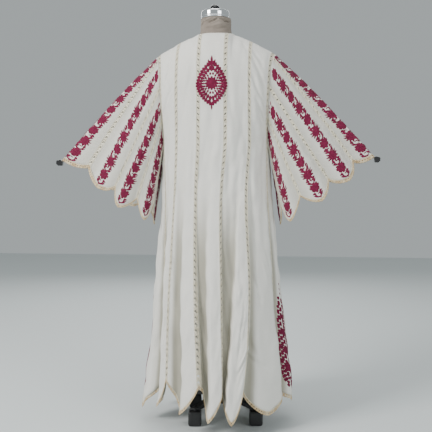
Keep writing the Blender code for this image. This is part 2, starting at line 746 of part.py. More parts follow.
def turned(name, profile, finish, x=0.0, y=0.0, steps=32):
    """A round piece: a profile of radius and height pairs turned about an upright axis."""
    shape = bmesh.new()
    rings = []
    for radius, height in profile:
        if radius == 0.0:
            rings.append([shape.verts.new((x, y, height))])
            continue
        ring = []
        for step in range(steps):
            angle = 2 * math.pi * step / steps
            spot = (x + radius * math.cos(angle), y + radius * math.sin(angle), height)
            ring.append(shape.verts.new(spot))
        rings.append(ring)
    for low, high in zip(rings, rings[1:]):
        for step in range(steps):
            after = (step + 1) % steps
            corners = [low[step % len(low)], low[after % len(low)]]
            corners += [high[after % len(high)], high[step % len(high)]]
            shape.faces.new(list(dict.fromkeys(corners)))
    return object_from(name, shape, finish)


def neck_fittings():
    """The chrome cap on the form's neck, with a shallow dish, and the black knob in it."""
    low = NECK_LOOPS[-1].height + GAP
    top = low + CAP_HEIGHT
    dish = top - CAP_DISH
    rim = CAP_RADIUS
    soft = CAP_ROUNDING
    turned("neck_cap", (
        (0.0, low), (rim - soft, low), (rim, low + soft), (rim, top - 1.5 * soft), (rim - soft, top),
        (rim - CAP_LIP, top - 0.3 * soft), (rim - 1.5 * CAP_LIP, dish), (0.0, dish),
    ), CHROME, x=CAP_X)
    centre = KNOB_TOP - KNOB_RADIUS
    seat = dish + GAP
    start = math.asin((seat - centre) / KNOB_RADIUS)
    profile = [(0.0, seat)]
    for step in range(KNOB_STEPS):
        angle = start + (math.pi / 2 - start) * step / KNOB_STEPS
        profile.append((KNOB_RADIUS * math.cos(angle), centre + KNOB_RADIUS * math.sin(angle)))
    profile.append((0.0, KNOB_TOP))
    turned("neck_knob", profile, GLOSS_BLACK, x=KNOB_X, steps=24)


def block(name, size, place, turn, finish, bevel=0.0):
    """A box of a size, turned about Z at a place, its edges rounded."""
    shape = bmesh.new()
    bmesh.ops.create_cube(shape, size=1.0)
    bmesh.ops.scale(shape, vec=Vector(size), verts=shape.verts)
    if bevel:
        bmesh.ops.bevel(shape, geom=shape.edges[:], offset=bevel, segments=2, profile=0.5, affect="EDGES")
    bmesh.ops.rotate(shape, matrix=Matrix.Rotation(turn, 3, "Z"), verts=shape.verts)
    bmesh.ops.translate(shape, vec=Vector(place), verts=shape.verts)
    return object_from(name, shape, finish)


def stand():
    """Pole, hub and four legs with block feet under the form."""
    base = FORM_LOOPS[-1].height - GAP
    flange = POLE_RADIUS + POLE_FLANGE
    turned("stand_pole", (
        (0.0, POLE_FOOT), (POLE_RADIUS, POLE_FOOT), (POLE_RADIUS, base - FLANGE_HEIGHT),
        (flange, base - FLANGE_HEIGHT), (flange, base), (0.0, base),
    ), STAND_BLACK, x=STAND_X, y=STAND_Y, steps=20)
    turned("stand_hub", (
        (0.0, HUB_LOW), (HUB_RADIUS, HUB_LOW), (HUB_RADIUS, HUB_TOP - HUB_CHAMFER[1]),
        (HUB_RADIUS - HUB_CHAMFER[0], HUB_TOP), (0.0, HUB_TOP),
    ), STAND_BLACK, x=STAND_X, y=STAND_Y, steps=24)
    for leg in range(4):
        turn = math.radians(45 + STAND_TURN + 90 * leg)
        ahead = Vector((math.cos(turn), math.sin(turn), 0.0))
        centre = Vector((STAND_X, STAND_Y, 0.0))
        foot = centre + ahead * FOOT_REACH
        square = math.radians(STAND_TURN)
        block(
            f"stand_foot_{leg}", (FOOT_WIDTH, FOOT_WIDTH, FOOT_HEIGHT),
            (foot.x, foot.y, FOOT_HEIGHT / 2), square, STAND_BLACK, bevel=FOOT_BEVEL,
        )
        shape = bmesh.new()
        across = Vector((-math.sin(turn), math.cos(turn), 0.0)) * LEG_WIDTH / 2
        start = math.sqrt(HUB_RADIUS**2 - (LEG_WIDTH / 2) ** 2) + LEG_CLEARANCE
        low = FOOT_HEIGHT + GAP
        outline = (
            (start, HUB_LOW + LEG_RISE),
            (start, HUB_LOW + LEG_RISE + LEG_HEIGHT),
            (FOOT_REACH - LEG_HEEL, low + LEG_HEIGHT * 0.45),
            (FOOT_REACH + LEG_TOE, low + LEG_HEIGHT * 0.30),
            (FOOT_REACH + LEG_TOE, low),
            (FOOT_REACH - LEG_HEEL, low),
        )
        sides = []
        for sign in (-1, 1):
            ring = []
            for reach, height in outline:
                spot = centre + ahead * reach + across * sign + Vector((0.0, 0.0, height))
                ring.append(shape.verts.new(spot))
            sides.append(ring)
            shape.faces.new(ring if sign > 0 else ring[::-1])
        join_rings(shape, sides)
        object_from(f"stand_leg_{leg}", shape, STAND_BLACK)


def sleeve_clips():
    """A small clip at each sleeve's tip: its closed jaws end at the cloth's edge."""
    for side, mark in ((1, "plus"), (-1, "minus")):
        surface = sleeve_surface(side)
        tip = surface(np.array([0.0]), np.array([1.0]))[0]
        inner = surface(np.array([0.0]), np.array([0.9]))[0]
        ahead = Vector(unit(tip - inner))
        normal = Vector(normals_of(surface, np.array([0.0]), np.array([0.97]), flip=side > 0)[0])
        normal = (normal - ahead * normal.dot(ahead)).normalized()
        across = ahead.cross(normal)
        tip = Vector(tip)
        outline = (
            (2 * GAP, CLIP_JAW / 2), (CLIP_RIDGE_REACH, CLIP_RIDGE), (CLIP_REACH, CLIP_GRIP),
            (CLIP_REACH, -CLIP_GRIP), (CLIP_RIDGE_REACH, -CLIP_RIDGE), (2 * GAP, -CLIP_JAW / 2),
        )
        shape = bmesh.new()
        ends = []
        for sign in (-1, 1):
            ring = []
            for reach, rise in outline:
                spot = tip + ahead * reach + normal * rise + across * (sign * CLIP_WIDTH / 2)
                ring.append(shape.verts.new(spot))
            ends.append(ring)
            shape.faces.new(ring if sign > 0 else ring[::-1])
        join_rings(shape, ends)
        object_from(f"clip_{mark}", shape, STAND_BLACK)


def build():
    """The whole part."""
    for old in list(bpy.data.objects):
        bpy.data.objects.remove(old, do_unlink=True)
    body_gores()
    body_trim()
    for side, mark in ((1, "plus"), (-1, "minus")):
        sleeve_gores(side, mark)
        sleeve_trim(side, mark)
    neck_binding()
    dress_form()
    neck_fittings()
    stand()
    sleeve_clips()


build()
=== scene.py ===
import json
import math

import bpy
import numpy as np
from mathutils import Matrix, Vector

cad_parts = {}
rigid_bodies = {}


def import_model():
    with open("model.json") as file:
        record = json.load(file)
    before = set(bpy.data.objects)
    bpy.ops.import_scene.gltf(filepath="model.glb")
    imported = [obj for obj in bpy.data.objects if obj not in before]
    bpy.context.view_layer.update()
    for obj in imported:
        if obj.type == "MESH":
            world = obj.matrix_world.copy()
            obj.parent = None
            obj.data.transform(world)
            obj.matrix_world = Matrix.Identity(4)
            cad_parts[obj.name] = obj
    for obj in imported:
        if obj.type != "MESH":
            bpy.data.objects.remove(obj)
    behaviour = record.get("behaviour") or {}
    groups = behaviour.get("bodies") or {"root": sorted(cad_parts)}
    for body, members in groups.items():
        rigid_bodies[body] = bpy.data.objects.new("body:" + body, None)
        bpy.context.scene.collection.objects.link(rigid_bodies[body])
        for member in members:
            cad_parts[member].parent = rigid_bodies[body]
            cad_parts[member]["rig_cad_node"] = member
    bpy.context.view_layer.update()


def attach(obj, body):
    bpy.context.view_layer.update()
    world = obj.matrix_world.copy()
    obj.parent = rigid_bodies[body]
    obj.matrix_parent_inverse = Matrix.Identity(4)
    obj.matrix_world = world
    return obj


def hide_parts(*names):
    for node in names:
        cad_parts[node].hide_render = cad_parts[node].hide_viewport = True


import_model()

# Sizes of the robe's cloth and trims, in metres

WALL = 0.0012
GAP = 0.0003
SHOWN_WALL = 0.0008
STRIP_WIDTH = 0.011
EDGING_HEIGHT = 0.012
SLOT_PITCH = 0.021
SLOT_LENGTH = 0.0115
SLOT_WIDTH = 0.0035
SLOT_TILT = math.radians(35)
SLOT_RIM = 0.0011
STRIP_SWELL = 0.0006
OPENWORK_WALL = 0.0007
EDGING_PITCH = 0.0105
EDGING_WALL = 0.0010
NECK_START = 0.0008
# lift, radius and girth of the cords beside the strips and along the edgings
STRIP_CORD = (0.0005, 0.0011, 0.007)
EDGE_CORD = (0.0004, 0.0013, 0.008)

# The same form as the CAD source: body gore coordinate u, row coordinate q

NECK_HALF_WIDTH = 0.066
NECK_BACK = 0.060
NECK_FRONT = 0.095
NECK_SIDE_HEIGHT = 1.371
NAPE_DROP = 0.004
THROAT_DROP = 0.120
UNDERARM_HEIGHT = 0.975
CHEST_GORE_WIDTH = 0.085
HEM_GORE_WIDTH = 0.170
UPPER_LENGTH = 0.42
SKIRT_LENGTH = 0.875
# mean widths of a gore on the body and on a sleeve, for creases and waves
BODY_GORE_MEAN = 0.105
SLEEVE_GORE_MEAN = 0.11
BODY_GORES = 12
SLEEVE_GORES = 8
CHEST_STRIP = STRIP_WIDTH / 2 / CHEST_GORE_WIDTH
CORNER_U = 0.5 + CHEST_STRIP + (1 - 2 * CHEST_STRIP) / 6
ARMHOLE_U = 2.5 + CHEST_STRIP

TOP_EDGE = (
    (0.0, 0.0), (0.5, 0.046), (CORNER_U, NECK_HALF_WIDTH),
    (1.5, 0.1276), (2.5, 0.207), (ARMHOLE_U, 0.213),
)
SHOULDER = (
    (0.066, 1.371), (0.100, 1.357), (0.140, 1.339), (0.180, 1.318), (0.205, 1.303), (0.215, 1.295),
)
# across, back depth and height, front depth and height
FULLNESS = (
    (0.0, 0.125, 1.215, 0.124, 1.130),
    (0.5, 0.124, 1.210, 0.130, 1.120),
    (1.5, 0.104, 1.180, 0.128, 1.120),
    (2.5, 0.066, 1.140, 0.064, 1.130),
    (ARMHOLE_U, 0.060, 1.140, 0.058, 1.130),
)
FULLNESS_ROW = 0.5
# height, half width, shift, back depth, front depth
LOOPS = (
    (0.975, 0.190, 0.000, 0.128, 0.133),
    (0.850, 0.193, -0.002, 0.130, 0.138),
    (0.700, 0.202, -0.005, 0.146, 0.152),
    (0.540, 0.214, -0.008, 0.170, 0.172),
    (0.400, 0.222, -0.010, 0.192, 0.190),
    (0.250, 0.235, -0.013, 0.212, 0.208),
    (0.150, 0.244, -0.012, 0.224, 0.220),
    (0.040, 0.252, -0.004, 0.233, 0.230),
)
SEAM_HEIGHTS = (0.975, 0.800, 0.440, 0.150)
# turn of each seam at those heights in degrees, then its notch and the petal's tip
SEAMS = (
    (14.3, 17.0, 14.2, 9.0, 0.165, 0.059),
    (42.0, 44.0, 44.3, 39.3, 0.172, 0.072),
    (75.0, 66.0, 61.0, 55.0, 0.155, 0.080),
    (105.0, 101.0, 98.0, 95.0, 0.155, 0.048),
    (138.0, 135.0, 131.0, 128.0, 0.160, 0.062),
    (165.7, 165.0, 163.0, 160.0, 0.160, 0.068),
    (194.3, 195.0, 194.0, 192.0, 0.165, 0.058),
    (222.0, 224.0, 225.0, 223.0, 0.160, 0.066),
    (255.0, 257.0, 256.0, 254.0, 0.155, 0.060),
    (285.0, 288.0, 290.0, 285.0, 0.112, 0.070),
    (318.0, 325.0, 328.0, 336.5, 0.155, 0.062),
    (345.7, 351.0, 352.0, 351.6, 0.140, 0.051),
)
# low edge at waist and hem, high edge at waist and hem, softness of both, height
FOLDS = (
    (-2.40, -2.45, -1.70, -1.68, 0.30, 0.22, 0.026),
    (-1.62, -1.52, -1.22, -0.66, 0.16, 0.12, 0.046),
    (-0.52, -0.48, -0.02, 0.10, 0.09, 0.30, 0.048),
    (0.46, 0.48, 1.00, 1.02, 0.09, 0.30, 0.044),
    (1.36, 1.40, 2.05, 2.12, 0.25, 0.28, 0.034),
    (2.70, 2.66, 3.25, 3.34, 0.22, 0.24, 0.040),
    (3.66, 3.72, 4.22, 4.32, 0.22, 0.16, 0.044),
    (4.62, 4.66, 5.20, 5.28, 0.14, 0.26, 0.040),
    (5.60, 5.66, 6.30, 6.36, 0.24, 0.20, 0.048),
    (6.66, 6.72, 7.22, 7.30, 0.14, 0.28, 0.042),
    (7.70, 7.72, 8.30, 8.36, 0.26, 0.14, 0.046),
    (8.70, 8.66, 9.26, 9.30, 0.24, 0.22, 0.036),
)
FOLD_REST = 0.022
FOLD_GROWTH = 1.3
FOLD_WAIST = 0.80
FOLD_HEM = 0.10
# plus reach and height, minus reach and height, depth, from over the arm to under it
TIPS = (
    (0.573, 0.917, 0.560, 0.924, 0.0),
    (0.424, 0.820, 0.472, 0.845, 0.052),
    (0.338, 0.757, 0.378, 0.781, 0.082),
    (0.246, 0.718, 0.270, 0.716, 0.078),
    (0.226, 0.700, 0.230, 0.702, 0.0),
)
SLEEVE_NOTCH = 0.050
SLEEVE_FLUTE = 0.009
SLEEVE_LIFT = 0.012
SLEEVE_LENGTH = 0.47
SLEEVE_GORE_TOP = 0.088
SLEEVE_GORE_END = 0.125
SLEEVE_HALF = STRIP_WIDTH / 2 / SLEEVE_GORE_END
SLEEVE_HALF_TOP = STRIP_WIDTH / 2 / SLEEVE_GORE_TOP

GORE_NAMES = (
    "back_centre", "back_inner_plus", "back_outer_plus", "side_plus", "front_outer_plus",
    "front_inner_plus", "front_centre", "front_inner_minus", "front_outer_minus",
    "side_minus", "back_outer_minus", "back_inner_minus",
)
SIDE_GORES = (3, 9)


def table_column(table, place):
    """One column of a table of rows as an array."""
    return np.array([row[place] for row in table], float)


def smooth_read(x, knots, values):
    """Cubic curve through the knots: each slope is the mean of its two chords, and zero where
    the chords change sign."""
    knots = np.asarray(knots, float)
    values = np.asarray(values, float)
    chords = np.diff(values) / np.diff(knots)
    slopes = np.concatenate([chords[:1], (chords[:-1] + chords[1:]) / 2, chords[-1:]])
    slopes[1:-1][chords[:-1] * chords[1:] <= 0] = 0.0
    x = np.clip(x, knots[0], knots[-1])
    i = np.clip(np.searchsorted(knots, x, side="right") - 1, 0, len(knots) - 2)
    width = knots[i + 1] - knots[i]
    t = (x - knots[i]) / width
    start = values[i] * (2 * t**3 - 3 * t**2 + 1) + slopes[i] * width * (t**3 - 2 * t**2 + t)
    end = values[i + 1] * (3 * t**2 - 2 * t**3) + slopes[i + 1] * width * (t**3 - t**2)
    return start + end


def smooth_step(x):
    """x squared times (3 - 2x), with x held between 0 and 1."""
    x = np.clip(x, 0, 1)
    return x * x * (3 - 2 * x)


def unit(vectors):
    """The same directions with length 1."""
    return vectors / np.maximum(np.linalg.norm(vectors, axis=-1, keepdims=True), 1e-12)


def running_length(path):
    """Metres from a path's first point to each of its points."""
    return np.concatenate([[0], np.cumsum(np.linalg.norm(np.diff(path, axis=0), axis=1))])


def strip_half(q):
    """Half of a strip's width over the gore's width at row q, both in metres."""
    return STRIP_WIDTH / 2 / gore_width(q)


def gore_width(q):
    """Chest width down to the underarm, then growing in a straight line to the hem's width."""
    return CHEST_GORE_WIDTH + (HEM_GORE_WIDTH - CHEST_GORE_WIDTH) * np.clip(q - 1, 0, 1)


def way_down(q):
    """Metres of cloth from the top edge to row q, by the lengths above and below the underarm."""
    return UPPER_LENGTH * np.clip(q, 0, 1) + SKIRT_LENGTH * np.clip(q - 1, 0, 1.2)


def turn_of(u, z):
    """Turn from the centre back in radians: between the two seams beside u in a straight line,
    each seam's turn read at height z, and 360 degrees more for each lap."""
    lap = np.floor((u - 0.5) / BODY_GORES)
    place = (u - 0.5) - lap * BODY_GORES
    low = np.floor(place).astype(int) % BODY_GORES
    part = place - np.floor(place)
    heights = SEAM_HEIGHTS[::-1]
    readings = [smooth_read(z, heights, seam[3::-1]) for seam in SEAMS]
    readings = np.array(readings + [readings[0] + 360.0])
    before = np.take_along_axis(readings, low[None], 0)[0]
    after = np.take_along_axis(readings, low[None] + 1, 0)[0]
    return np.radians(before + (after - before) * part + 360.0 * lap)


def loop_point(u, z):
    """Point on the loop at height z: shift plus half width times sine of the turn across, and
    the back or front depth times its cosine."""
    loops = LOOPS[::-1]
    heights = table_column(loops, 0)
    turn = turn_of(u, z)
    half_width, shift, back, front = (smooth_read(z, heights, table_column(loops, k)) for k in (1, 2, 3, 4))
    depth = np.where(np.cos(turn) > 0, back, front)
    return np.stack([shift + half_width * np.sin(turn), depth * np.cos(turn), z], -1), turn


def fold_height(u, z):
    """Sum over the folds of height times a soft rise at the low edge and a soft fall at the high
    edge, less the rest level, times the growth from underarm to hem."""
    down = np.clip((FOLD_WAIST - z) / (FOLD_WAIST - FOLD_HEM), 0, 1)
    total = np.zeros(np.broadcast(u, z).shape)
    for low_waist, low_hem, high_waist, high_hem, low_soft, high_soft, height in FOLDS:
        low = low_waist + (low_hem - low_waist) * down
        high = high_waist + (high_hem - high_waist) * down
        place = low - 1.0 + np.mod(u - low + 1.0, BODY_GORES)
        ridge = smooth_step((place - low) / low_soft + 0.5) * smooth_step((high - place) / high_soft + 0.5)
        total = total + height * ridge
    growth = np.clip((UNDERARM_HEIGHT - z) / (UNDERARM_HEIGHT - FOLD_HEM), 0, 1) ** FOLD_GROWTH
    return (total - FOLD_REST) * growth


def petal(w):
    """Three quarters of a parabola and a quarter of a tent: 0 at both seams, 1 at the tip."""
    off = np.abs(2 * w - 1)
    return 0.75 * (1 - off**2) + 0.25 * (1 - off)


def hem_height(u):
    """From the notch heights of the two seams towards the tip's height by the petal's curve."""
    place = np.mod(u + 0.5, BODY_GORES)
    gore = np.floor(place).astype(int) % BODY_GORES
    w = place - np.floor(place)
    notch, tip = table_column(SEAMS, 4), table_column(SEAMS, 5)
    level = notch[gore - 1] + (notch[gore] - notch[gore - 1]) * w
    return level + (tip[gore] - level) * petal(w)


def top_point(across, front):
    """Neck curve inside the neck's half width: an ellipse in plan that dips towards the middle.
    The shoulder's line outside it."""
    x = np.interp(across, table_column(TOP_EDGE, 0), table_column(TOP_EDGE, 1))
    ring = np.sqrt(np.clip(1 - (x / NECK_HALF_WIDTH) ** 2, 0, 1))
    y = np.where(front, -NECK_FRONT, NECK_BACK) * ring
    drop = np.where(front, THROAT_DROP * ring**1.3, NAPE_DROP * ring)
    shoulder = smooth_read(x, table_column(SHOULDER, 0), table_column(SHOULDER, 1))
    return x, y, np.where(x <= NECK_HALF_WIDTH, NECK_SIDE_HEIGHT - drop, shoulder)


def upper_point(u, q):
    """Above the underarm: a quarter ellipse from the top edge to the fullest point, then a soft
    step to the loop at the underarm."""
    round_u = np.mod(u + 3.0, BODY_GORES) - 3.0
    front = round_u > 3.0
    place = np.where(front, 6.0 - round_u, round_u)
    across, side = np.abs(place), np.where(place < 0, -1.0, 1.0)
    x_top, y_top, z_top = top_point(across, front)
    knots = table_column(FULLNESS, 0)
    columns = [smooth_read(across, knots, table_column(FULLNESS, k)) for k in (1, 2, 3, 4)]
    back_y, back_z, front_y, front_z = columns
    y_full, z_full = np.where(front, -front_y, back_y), np.where(front, front_z, back_z)
    under, _ = loop_point(u, np.full(np.broadcast(u, q).shape, UNDERARM_HEIGHT))
    angle = np.pi / 2 * np.clip(q / FULLNESS_ROW, 0, 1)
    down = np.clip((q - FULLNESS_ROW) / (1 - FULLNESS_ROW), 0, 1)
    y = y_top + (y_full - y_top) * np.sin(angle) + (under[..., 1] - y_full) * smooth_step(down)
    z = z_top - (z_top - z_full) * (1 - np.cos(angle)) + (UNDERARM_HEIGHT - z_full) * down
    x = under[..., 0] + (side * x_top - under[..., 0]) * (1 - q) ** 2.4
    return np.stack([x, y, z], -1)


def lower_point(u, q):
    """Below the underarm: the loop's point pushed straight out by the folds."""
    z = UNDERARM_HEIGHT + (hem_height(u) - UNDERARM_HEIGHT) * (q - 1)
    point, turn = loop_point(u, z)
    outward = np.stack([np.sin(turn), np.cos(turn), np.zeros_like(turn)], -1)
    return point + outward * fold_height(u, z)[..., None]


def robe_point(u, q):
    """The body's middle surface: the upper form for rows below 1, the skirt from there."""
    u, q = np.broadcast_arrays(np.asarray(u, float), np.asarray(q, float))
    upper = upper_point(u, np.clip(q, 0, 1))
    lower = lower_point(u, np.clip(q, 1, 2.2))
    return np.where((q < 1)[..., None], upper, lower)


def normals_of(surface, a, b, flip=False, reach=0.004):
    """Cross product of the differences along both parameters, scaled to length 1."""
    step = 1e-4
    low = np.maximum(np.where(b < 1, np.minimum(b, 1 - 2 * step), b), step)
    along = surface(a + reach, low) - surface(a - reach, low)
    down = surface(a, low + step) - surface(a, low - step)
    return unit(np.cross(down, along) if flip else np.cross(along, down))


def robe_normals(u, q):
    """Outward directions of the body, read wider above the underarm, where gores are narrow."""
    return normals_of(robe_point, u, q, reach=np.where(np.asarray(q) < 1, 0.04, 0.004))


def robe_shell(u, q):
    """The body's point and outward direction."""
    return robe_point(u, q), robe_normals(u, q)


def armhole_point(v, side):
    """The body's surface beside the side gore: down the back for v to 3.5, across under the arm,
    and up the front."""
    v = np.mod(v, SLEEVE_GORES)
    folded = np.minimum(v, SLEEVE_GORES - v)
    q = np.clip(folded / 3.5, NECK_START, 1.0)
    under = np.clip((folded - 3.5) / 0.5, 0, 1)
    u = ARMHOLE_U + (3.0 - ARMHOLE_U) * under
    u = side * np.where(v > SLEEVE_GORES / 2, 6.0 - u, u)
    return robe_point(u, q), robe_normals(u, np.minimum(q, 0.9995))


def sleeve_strip_half(s):
    """Half of a strip's width over the sleeve gore's, which widens in a straight line."""
    return SLEEVE_HALF_TOP + (SLEEVE_HALF - SLEEVE_HALF_TOP) * s


def sleeve_end(v, side):
    """Smooth curve through the petal tips, mirrored to the front past under the arm."""
    v = np.mod(v, SLEEVE_GORES)
    folded = np.minimum(v, SLEEVE_GORES - v)
    front = np.where(v > SLEEVE_GORES / 2, -1.0, 1.0)
    places = np.arange(len(TIPS), dtype=float)
    first = 0 if side > 0 else 2
    x, z, y = (smooth_read(folded, places, table_column(TIPS, k)) for k in (first, first + 1, 4))
    return np.stack([side * x, front * y, z], -1)


def sleeve_surface(side):
    """Straight lines from the armhole to the petal edge, each lifted by a sine over its length,
    and pushed out by a cosine round the sleeve, one flute to each gore."""

    def surface(v, s):
        v, s = np.broadcast_arrays(np.asarray(v, float), np.asarray(s, float))
        start, outward = armhole_point(v, side)
        start = start + outward * (WALL + 2 * GAP)
        end = sleeve_end(v, side)
        notch = SLEEVE_NOTCH * (1 - petal(np.mod(v + 0.5, 1.0)))
        end = end - unit(end - start) * notch[..., None]
        crown = np.cos(np.pi * v / 4)
        lift = SLEEVE_LIFT * np.sin(np.pi * np.clip(s, 0, 1)) * crown**2
        lift = np.where(crown > 0, lift, -lift * 0.3)
        point = start + (end - start) * s[..., None]
        spin = np.stack([0 * v, np.sin(np.pi * v / 4), crown], -1)
        flute = SLEEVE_FLUTE * np.clip(s, 0, 1.1) ** 1.2 * np.cos(2 * np.pi * v)
        return point + unit(spin) * flute[..., None] + np.stack([0 * v, 0 * v, lift], -1)

    return surface


def sleeve_shell(side):
    """A function that gives a sleeve's point and outward direction."""
    surface = sleeve_surface(side)
    return lambda v, s: (surface(v, s), normals_of(surface, v, s, flip=side > 0))


# Creases of the worn cloth: start u and way down, end u and way down, width, depth

BODY_CREASES = (
    (-0.26, 0.102, 0.32, 0.099, 0.0034, 0.0017),
    (-0.22, 0.119, 0.34, 0.116, 0.0034, 0.0015),
    (-0.40, 0.073, 0.42, 0.070, 0.0040, 0.0011),
    (-1.30, 0.10, -2.45, 0.20, 0.0100, 0.0040),
    (-1.45, 0.17, -2.45, 0.26, 0.0090, 0.0034),
    (-1.75, 0.24, -2.50, 0.33, 0.0080, 0.0026),
    (-1.10, 0.08, -2.20, 0.12, 0.0110, 0.0026),
    (1.60, 0.10, 2.45, 0.22, 0.0100, 0.0026),
    (1.50, 0.18, 2.48, 0.30, 0.0090, 0.0022),
    (-2.10, 0.76, -2.42, 0.90, 0.0050, 0.0018),
    (-1.95, 0.80, -2.20, 0.90, 0.0045, -0.0014),
    (-1.05, 1.137, -1.98, 1.130, 0.0080, -0.0026),
    (-1.10, 1.156, -1.95, 1.149, 0.0075, 0.0022),
    (-1.20, 0.995, -1.42, 1.060, 0.0070, 0.0024),
    (-1.62, 0.86, -1.92, 0.95, 0.0075, 0.0024),
    (-1.02, 0.80, -1.16, 0.93, 0.0070, -0.0022),
    (-1.55, 1.085, -1.85, 1.155, 0.0070, 0.0020),
    (-1.55, 0.42, -1.75, 0.95, 0.0120, 0.0026),
    (-0.70, 0.40, -0.95, 0.86, 0.0130, 0.0024),
    (0.62, 0.36, 0.66, 0.90, 0.0120, 0.0022),
    (1.15, 0.46, 1.30, 1.02, 0.0130, 0.0028),
    (1.80, 0.50, 1.78, 1.10, 0.0110, 0.0022),
    (2.35, 0.48, 2.42, 1.08, 0.0120, 0.0026),
    (-2.25, 0.44, -2.05, 0.78, 0.0110, 0.0026),
    (-2.75, 0.52, -2.80, 1.06, 0.0120, 0.0024),
    (0.05, 0.30, -0.15, 0.70, 0.0140, 0.0018),
    (-1.35, 0.92, -1.12, 1.12, 0.0060, 0.0020),
    (1.05, 1.02, 1.30, 1.13, 0.0060, 0.0016),
    (0.70, 0.16, 1.20, 0.34, 0.0110, 0.0016),
    (-0.45, 0.14, -0.80, 0.36, 0.0120, 0.0018),
    (-0.95, 0.055, -1.90, 0.065, 0.0060, 0.0010),
    # the front's
    (5.70, 0.050, 6.32, 0.056, 0.0032, 0.0010),
    (4.30, 0.09, 3.62, 0.22, 0.0100, 0.0032),
    (4.60, 0.16, 3.58, 0.27, 0.0090, 0.0026),
    (7.60, 0.10, 8.45, 0.21, 0.0100, 0.0030),
    (7.40, 0.17, 8.45, 0.28, 0.0095, 0.0026),
    (5.30, 0.42, 5.20, 0.98, 0.0120, 0.0024),
    (6.55, 0.40, 6.70, 0.95, 0.0130, 0.0026),
    (4.40, 0.48, 4.34, 1.06, 0.0120, 0.0024),
    (7.60, 0.46, 7.72, 1.02, 0.0120, 0.0022),
    (8.50, 0.50, 8.56, 1.08, 0.0110, 0.0024),
    (3.52, 0.52, 3.46, 1.04, 0.0120, 0.0022),
    (6.05, 0.46, 6.00, 0.86, 0.0130, 0.0018),
    (4.85, 1.150, 5.85, 1.158, 0.0040, 0.0014),
    (7.10, 1.120, 8.00, 1.126, 0.0042, 0.0012),
    (5.15, 0.92, 5.42, 1.10, 0.0060, 0.0018),
)
# the same for a sleeve: start v and s, end v and s, width, depth
SLEEVE_CREASES = (
    (1.45, 0.05, 0.95, 0.62, 0.0070, 0.0024),
    (0.72, 0.10, 0.62, 0.72, 0.0080, 0.0020),
    (2.42, 0.08, 2.20, 0.80, 0.0080, 0.0026),
    (2.70, 0.30, 2.62, 0.92, 0.0070, 0.0020),
    (1.70, 0.36, 1.55, 0.90, 0.0080, -0.0022),
    (3.20, 0.10, 3.35, 0.75, 0.0080, 0.0020),
    (4.60, 0.12, 4.72, 0.80, 0.0080, 0.0022),
    (5.40, 0.08, 5.30, 0.76, 0.0080, 0.0024),
    (6.35, 0.10, 6.45, 0.85, 0.0080, 0.0024),
    (7.30, 0.06, 7.40, 0.70, 0.0075, 0.0022),
    (7.80, 0.40, 7.65, 0.92, 0.0070, -0.0018),
)
# waves of the hand-washed cloth: turns per metre across and down, start, height in metres
BODY_WAVES = (
    (9.0, 1.3, 0.3, 0.0009), (14.0, -2.1, 1.9, 0.0006), (22.0, 3.4, 4.1, 0.0004), (6.0, 2.3, 2.2, 0.0010),
    (31.0, -5.0, 0.8, 0.00022), (17.0, 7.5, 5.2, 0.0003), (4.0, 10.0, 3.3, 0.0005),
    (11.0, -13.0, 1.1, 0.00025),
)


def wave_height(across, down):
    """Sum of sines of both lengths, each with its phase swayed by a slow sine of the other."""
    total = np.zeros(np.broadcast(across, down).shape)
    for turns_across, turns_down, start, height in BODY_WAVES:
        sway = 1.4 * np.sin(2 * np.pi * (1.7 * down + 0.31 * turns_across) + start)
        phase = 2 * np.pi * (turns_across * across + turns_down * down) + start
        total = total + height * np.sin(phase + sway)
    return total


def crease_height(across, down, creases, scale, lap=None):
    """For each crease, minus its depth times a bell across its line times a soft rise and fall
    along it, with a shallow ridge on both sides of the bell."""
    total = np.zeros(np.broadcast(across, down).shape)
    for start_a, start_d, end_a, end_d, width, depth in creases:
        away = across - start_a
        if lap:
            middle = (end_a - start_a) / 2
            away = np.mod(away - middle + lap / 2, lap) - lap / 2 + middle
        line = np.array([(end_a - start_a) * scale, end_d - start_d])
        length = np.hypot(*line)
        line = line / length
        x, y = away * scale, down - start_d
        along = (x * line[0] + y * line[1]) / length
        off = x * line[1] - y * line[0] + 0.25 * width * np.sin(9.0 * along + 40 * start_d)
        fade = smooth_step(along / 0.28 + 0.15) * smooth_step((1 - along) / 0.28 + 0.15)
        bell = (1 - 0.45 * (off / width) ** 2) * np.exp(-((off / width) ** 2) / 1.6)
        total = total - depth * bell * fade
    return total


def body_relief(u, q):
    """Creases of back and front, and the soft waves, fading out at the strips beside each gore."""
    down = way_down(q)
    width = gore_width(q)
    total = 1.5 * crease_height(u, down, BODY_CREASES, BODY_GORE_MEAN, lap=BODY_GORES)
    waves = wave_height(u * BODY_GORE_MEAN, down) * (0.65 + 1.15 * smooth_step(q - 0.2))
    beside = np.abs(np.mod(u, 1.0) - 0.5) * width
    calm = 0.30 + 0.70 * smooth_step((beside - 0.004) / 0.020)
    ends = smooth_step(q / 0.02 + 0.15) * (0.25 + 0.75 * smooth_step((2.0 - q) / 0.03))
    return (total + waves) * calm * ends


def sleeve_gore_width(s):
    """The width at the armhole, growing in a straight line to the width at the petals."""
    return SLEEVE_GORE_TOP + (SLEEVE_GORE_END - SLEEVE_GORE_TOP) * s


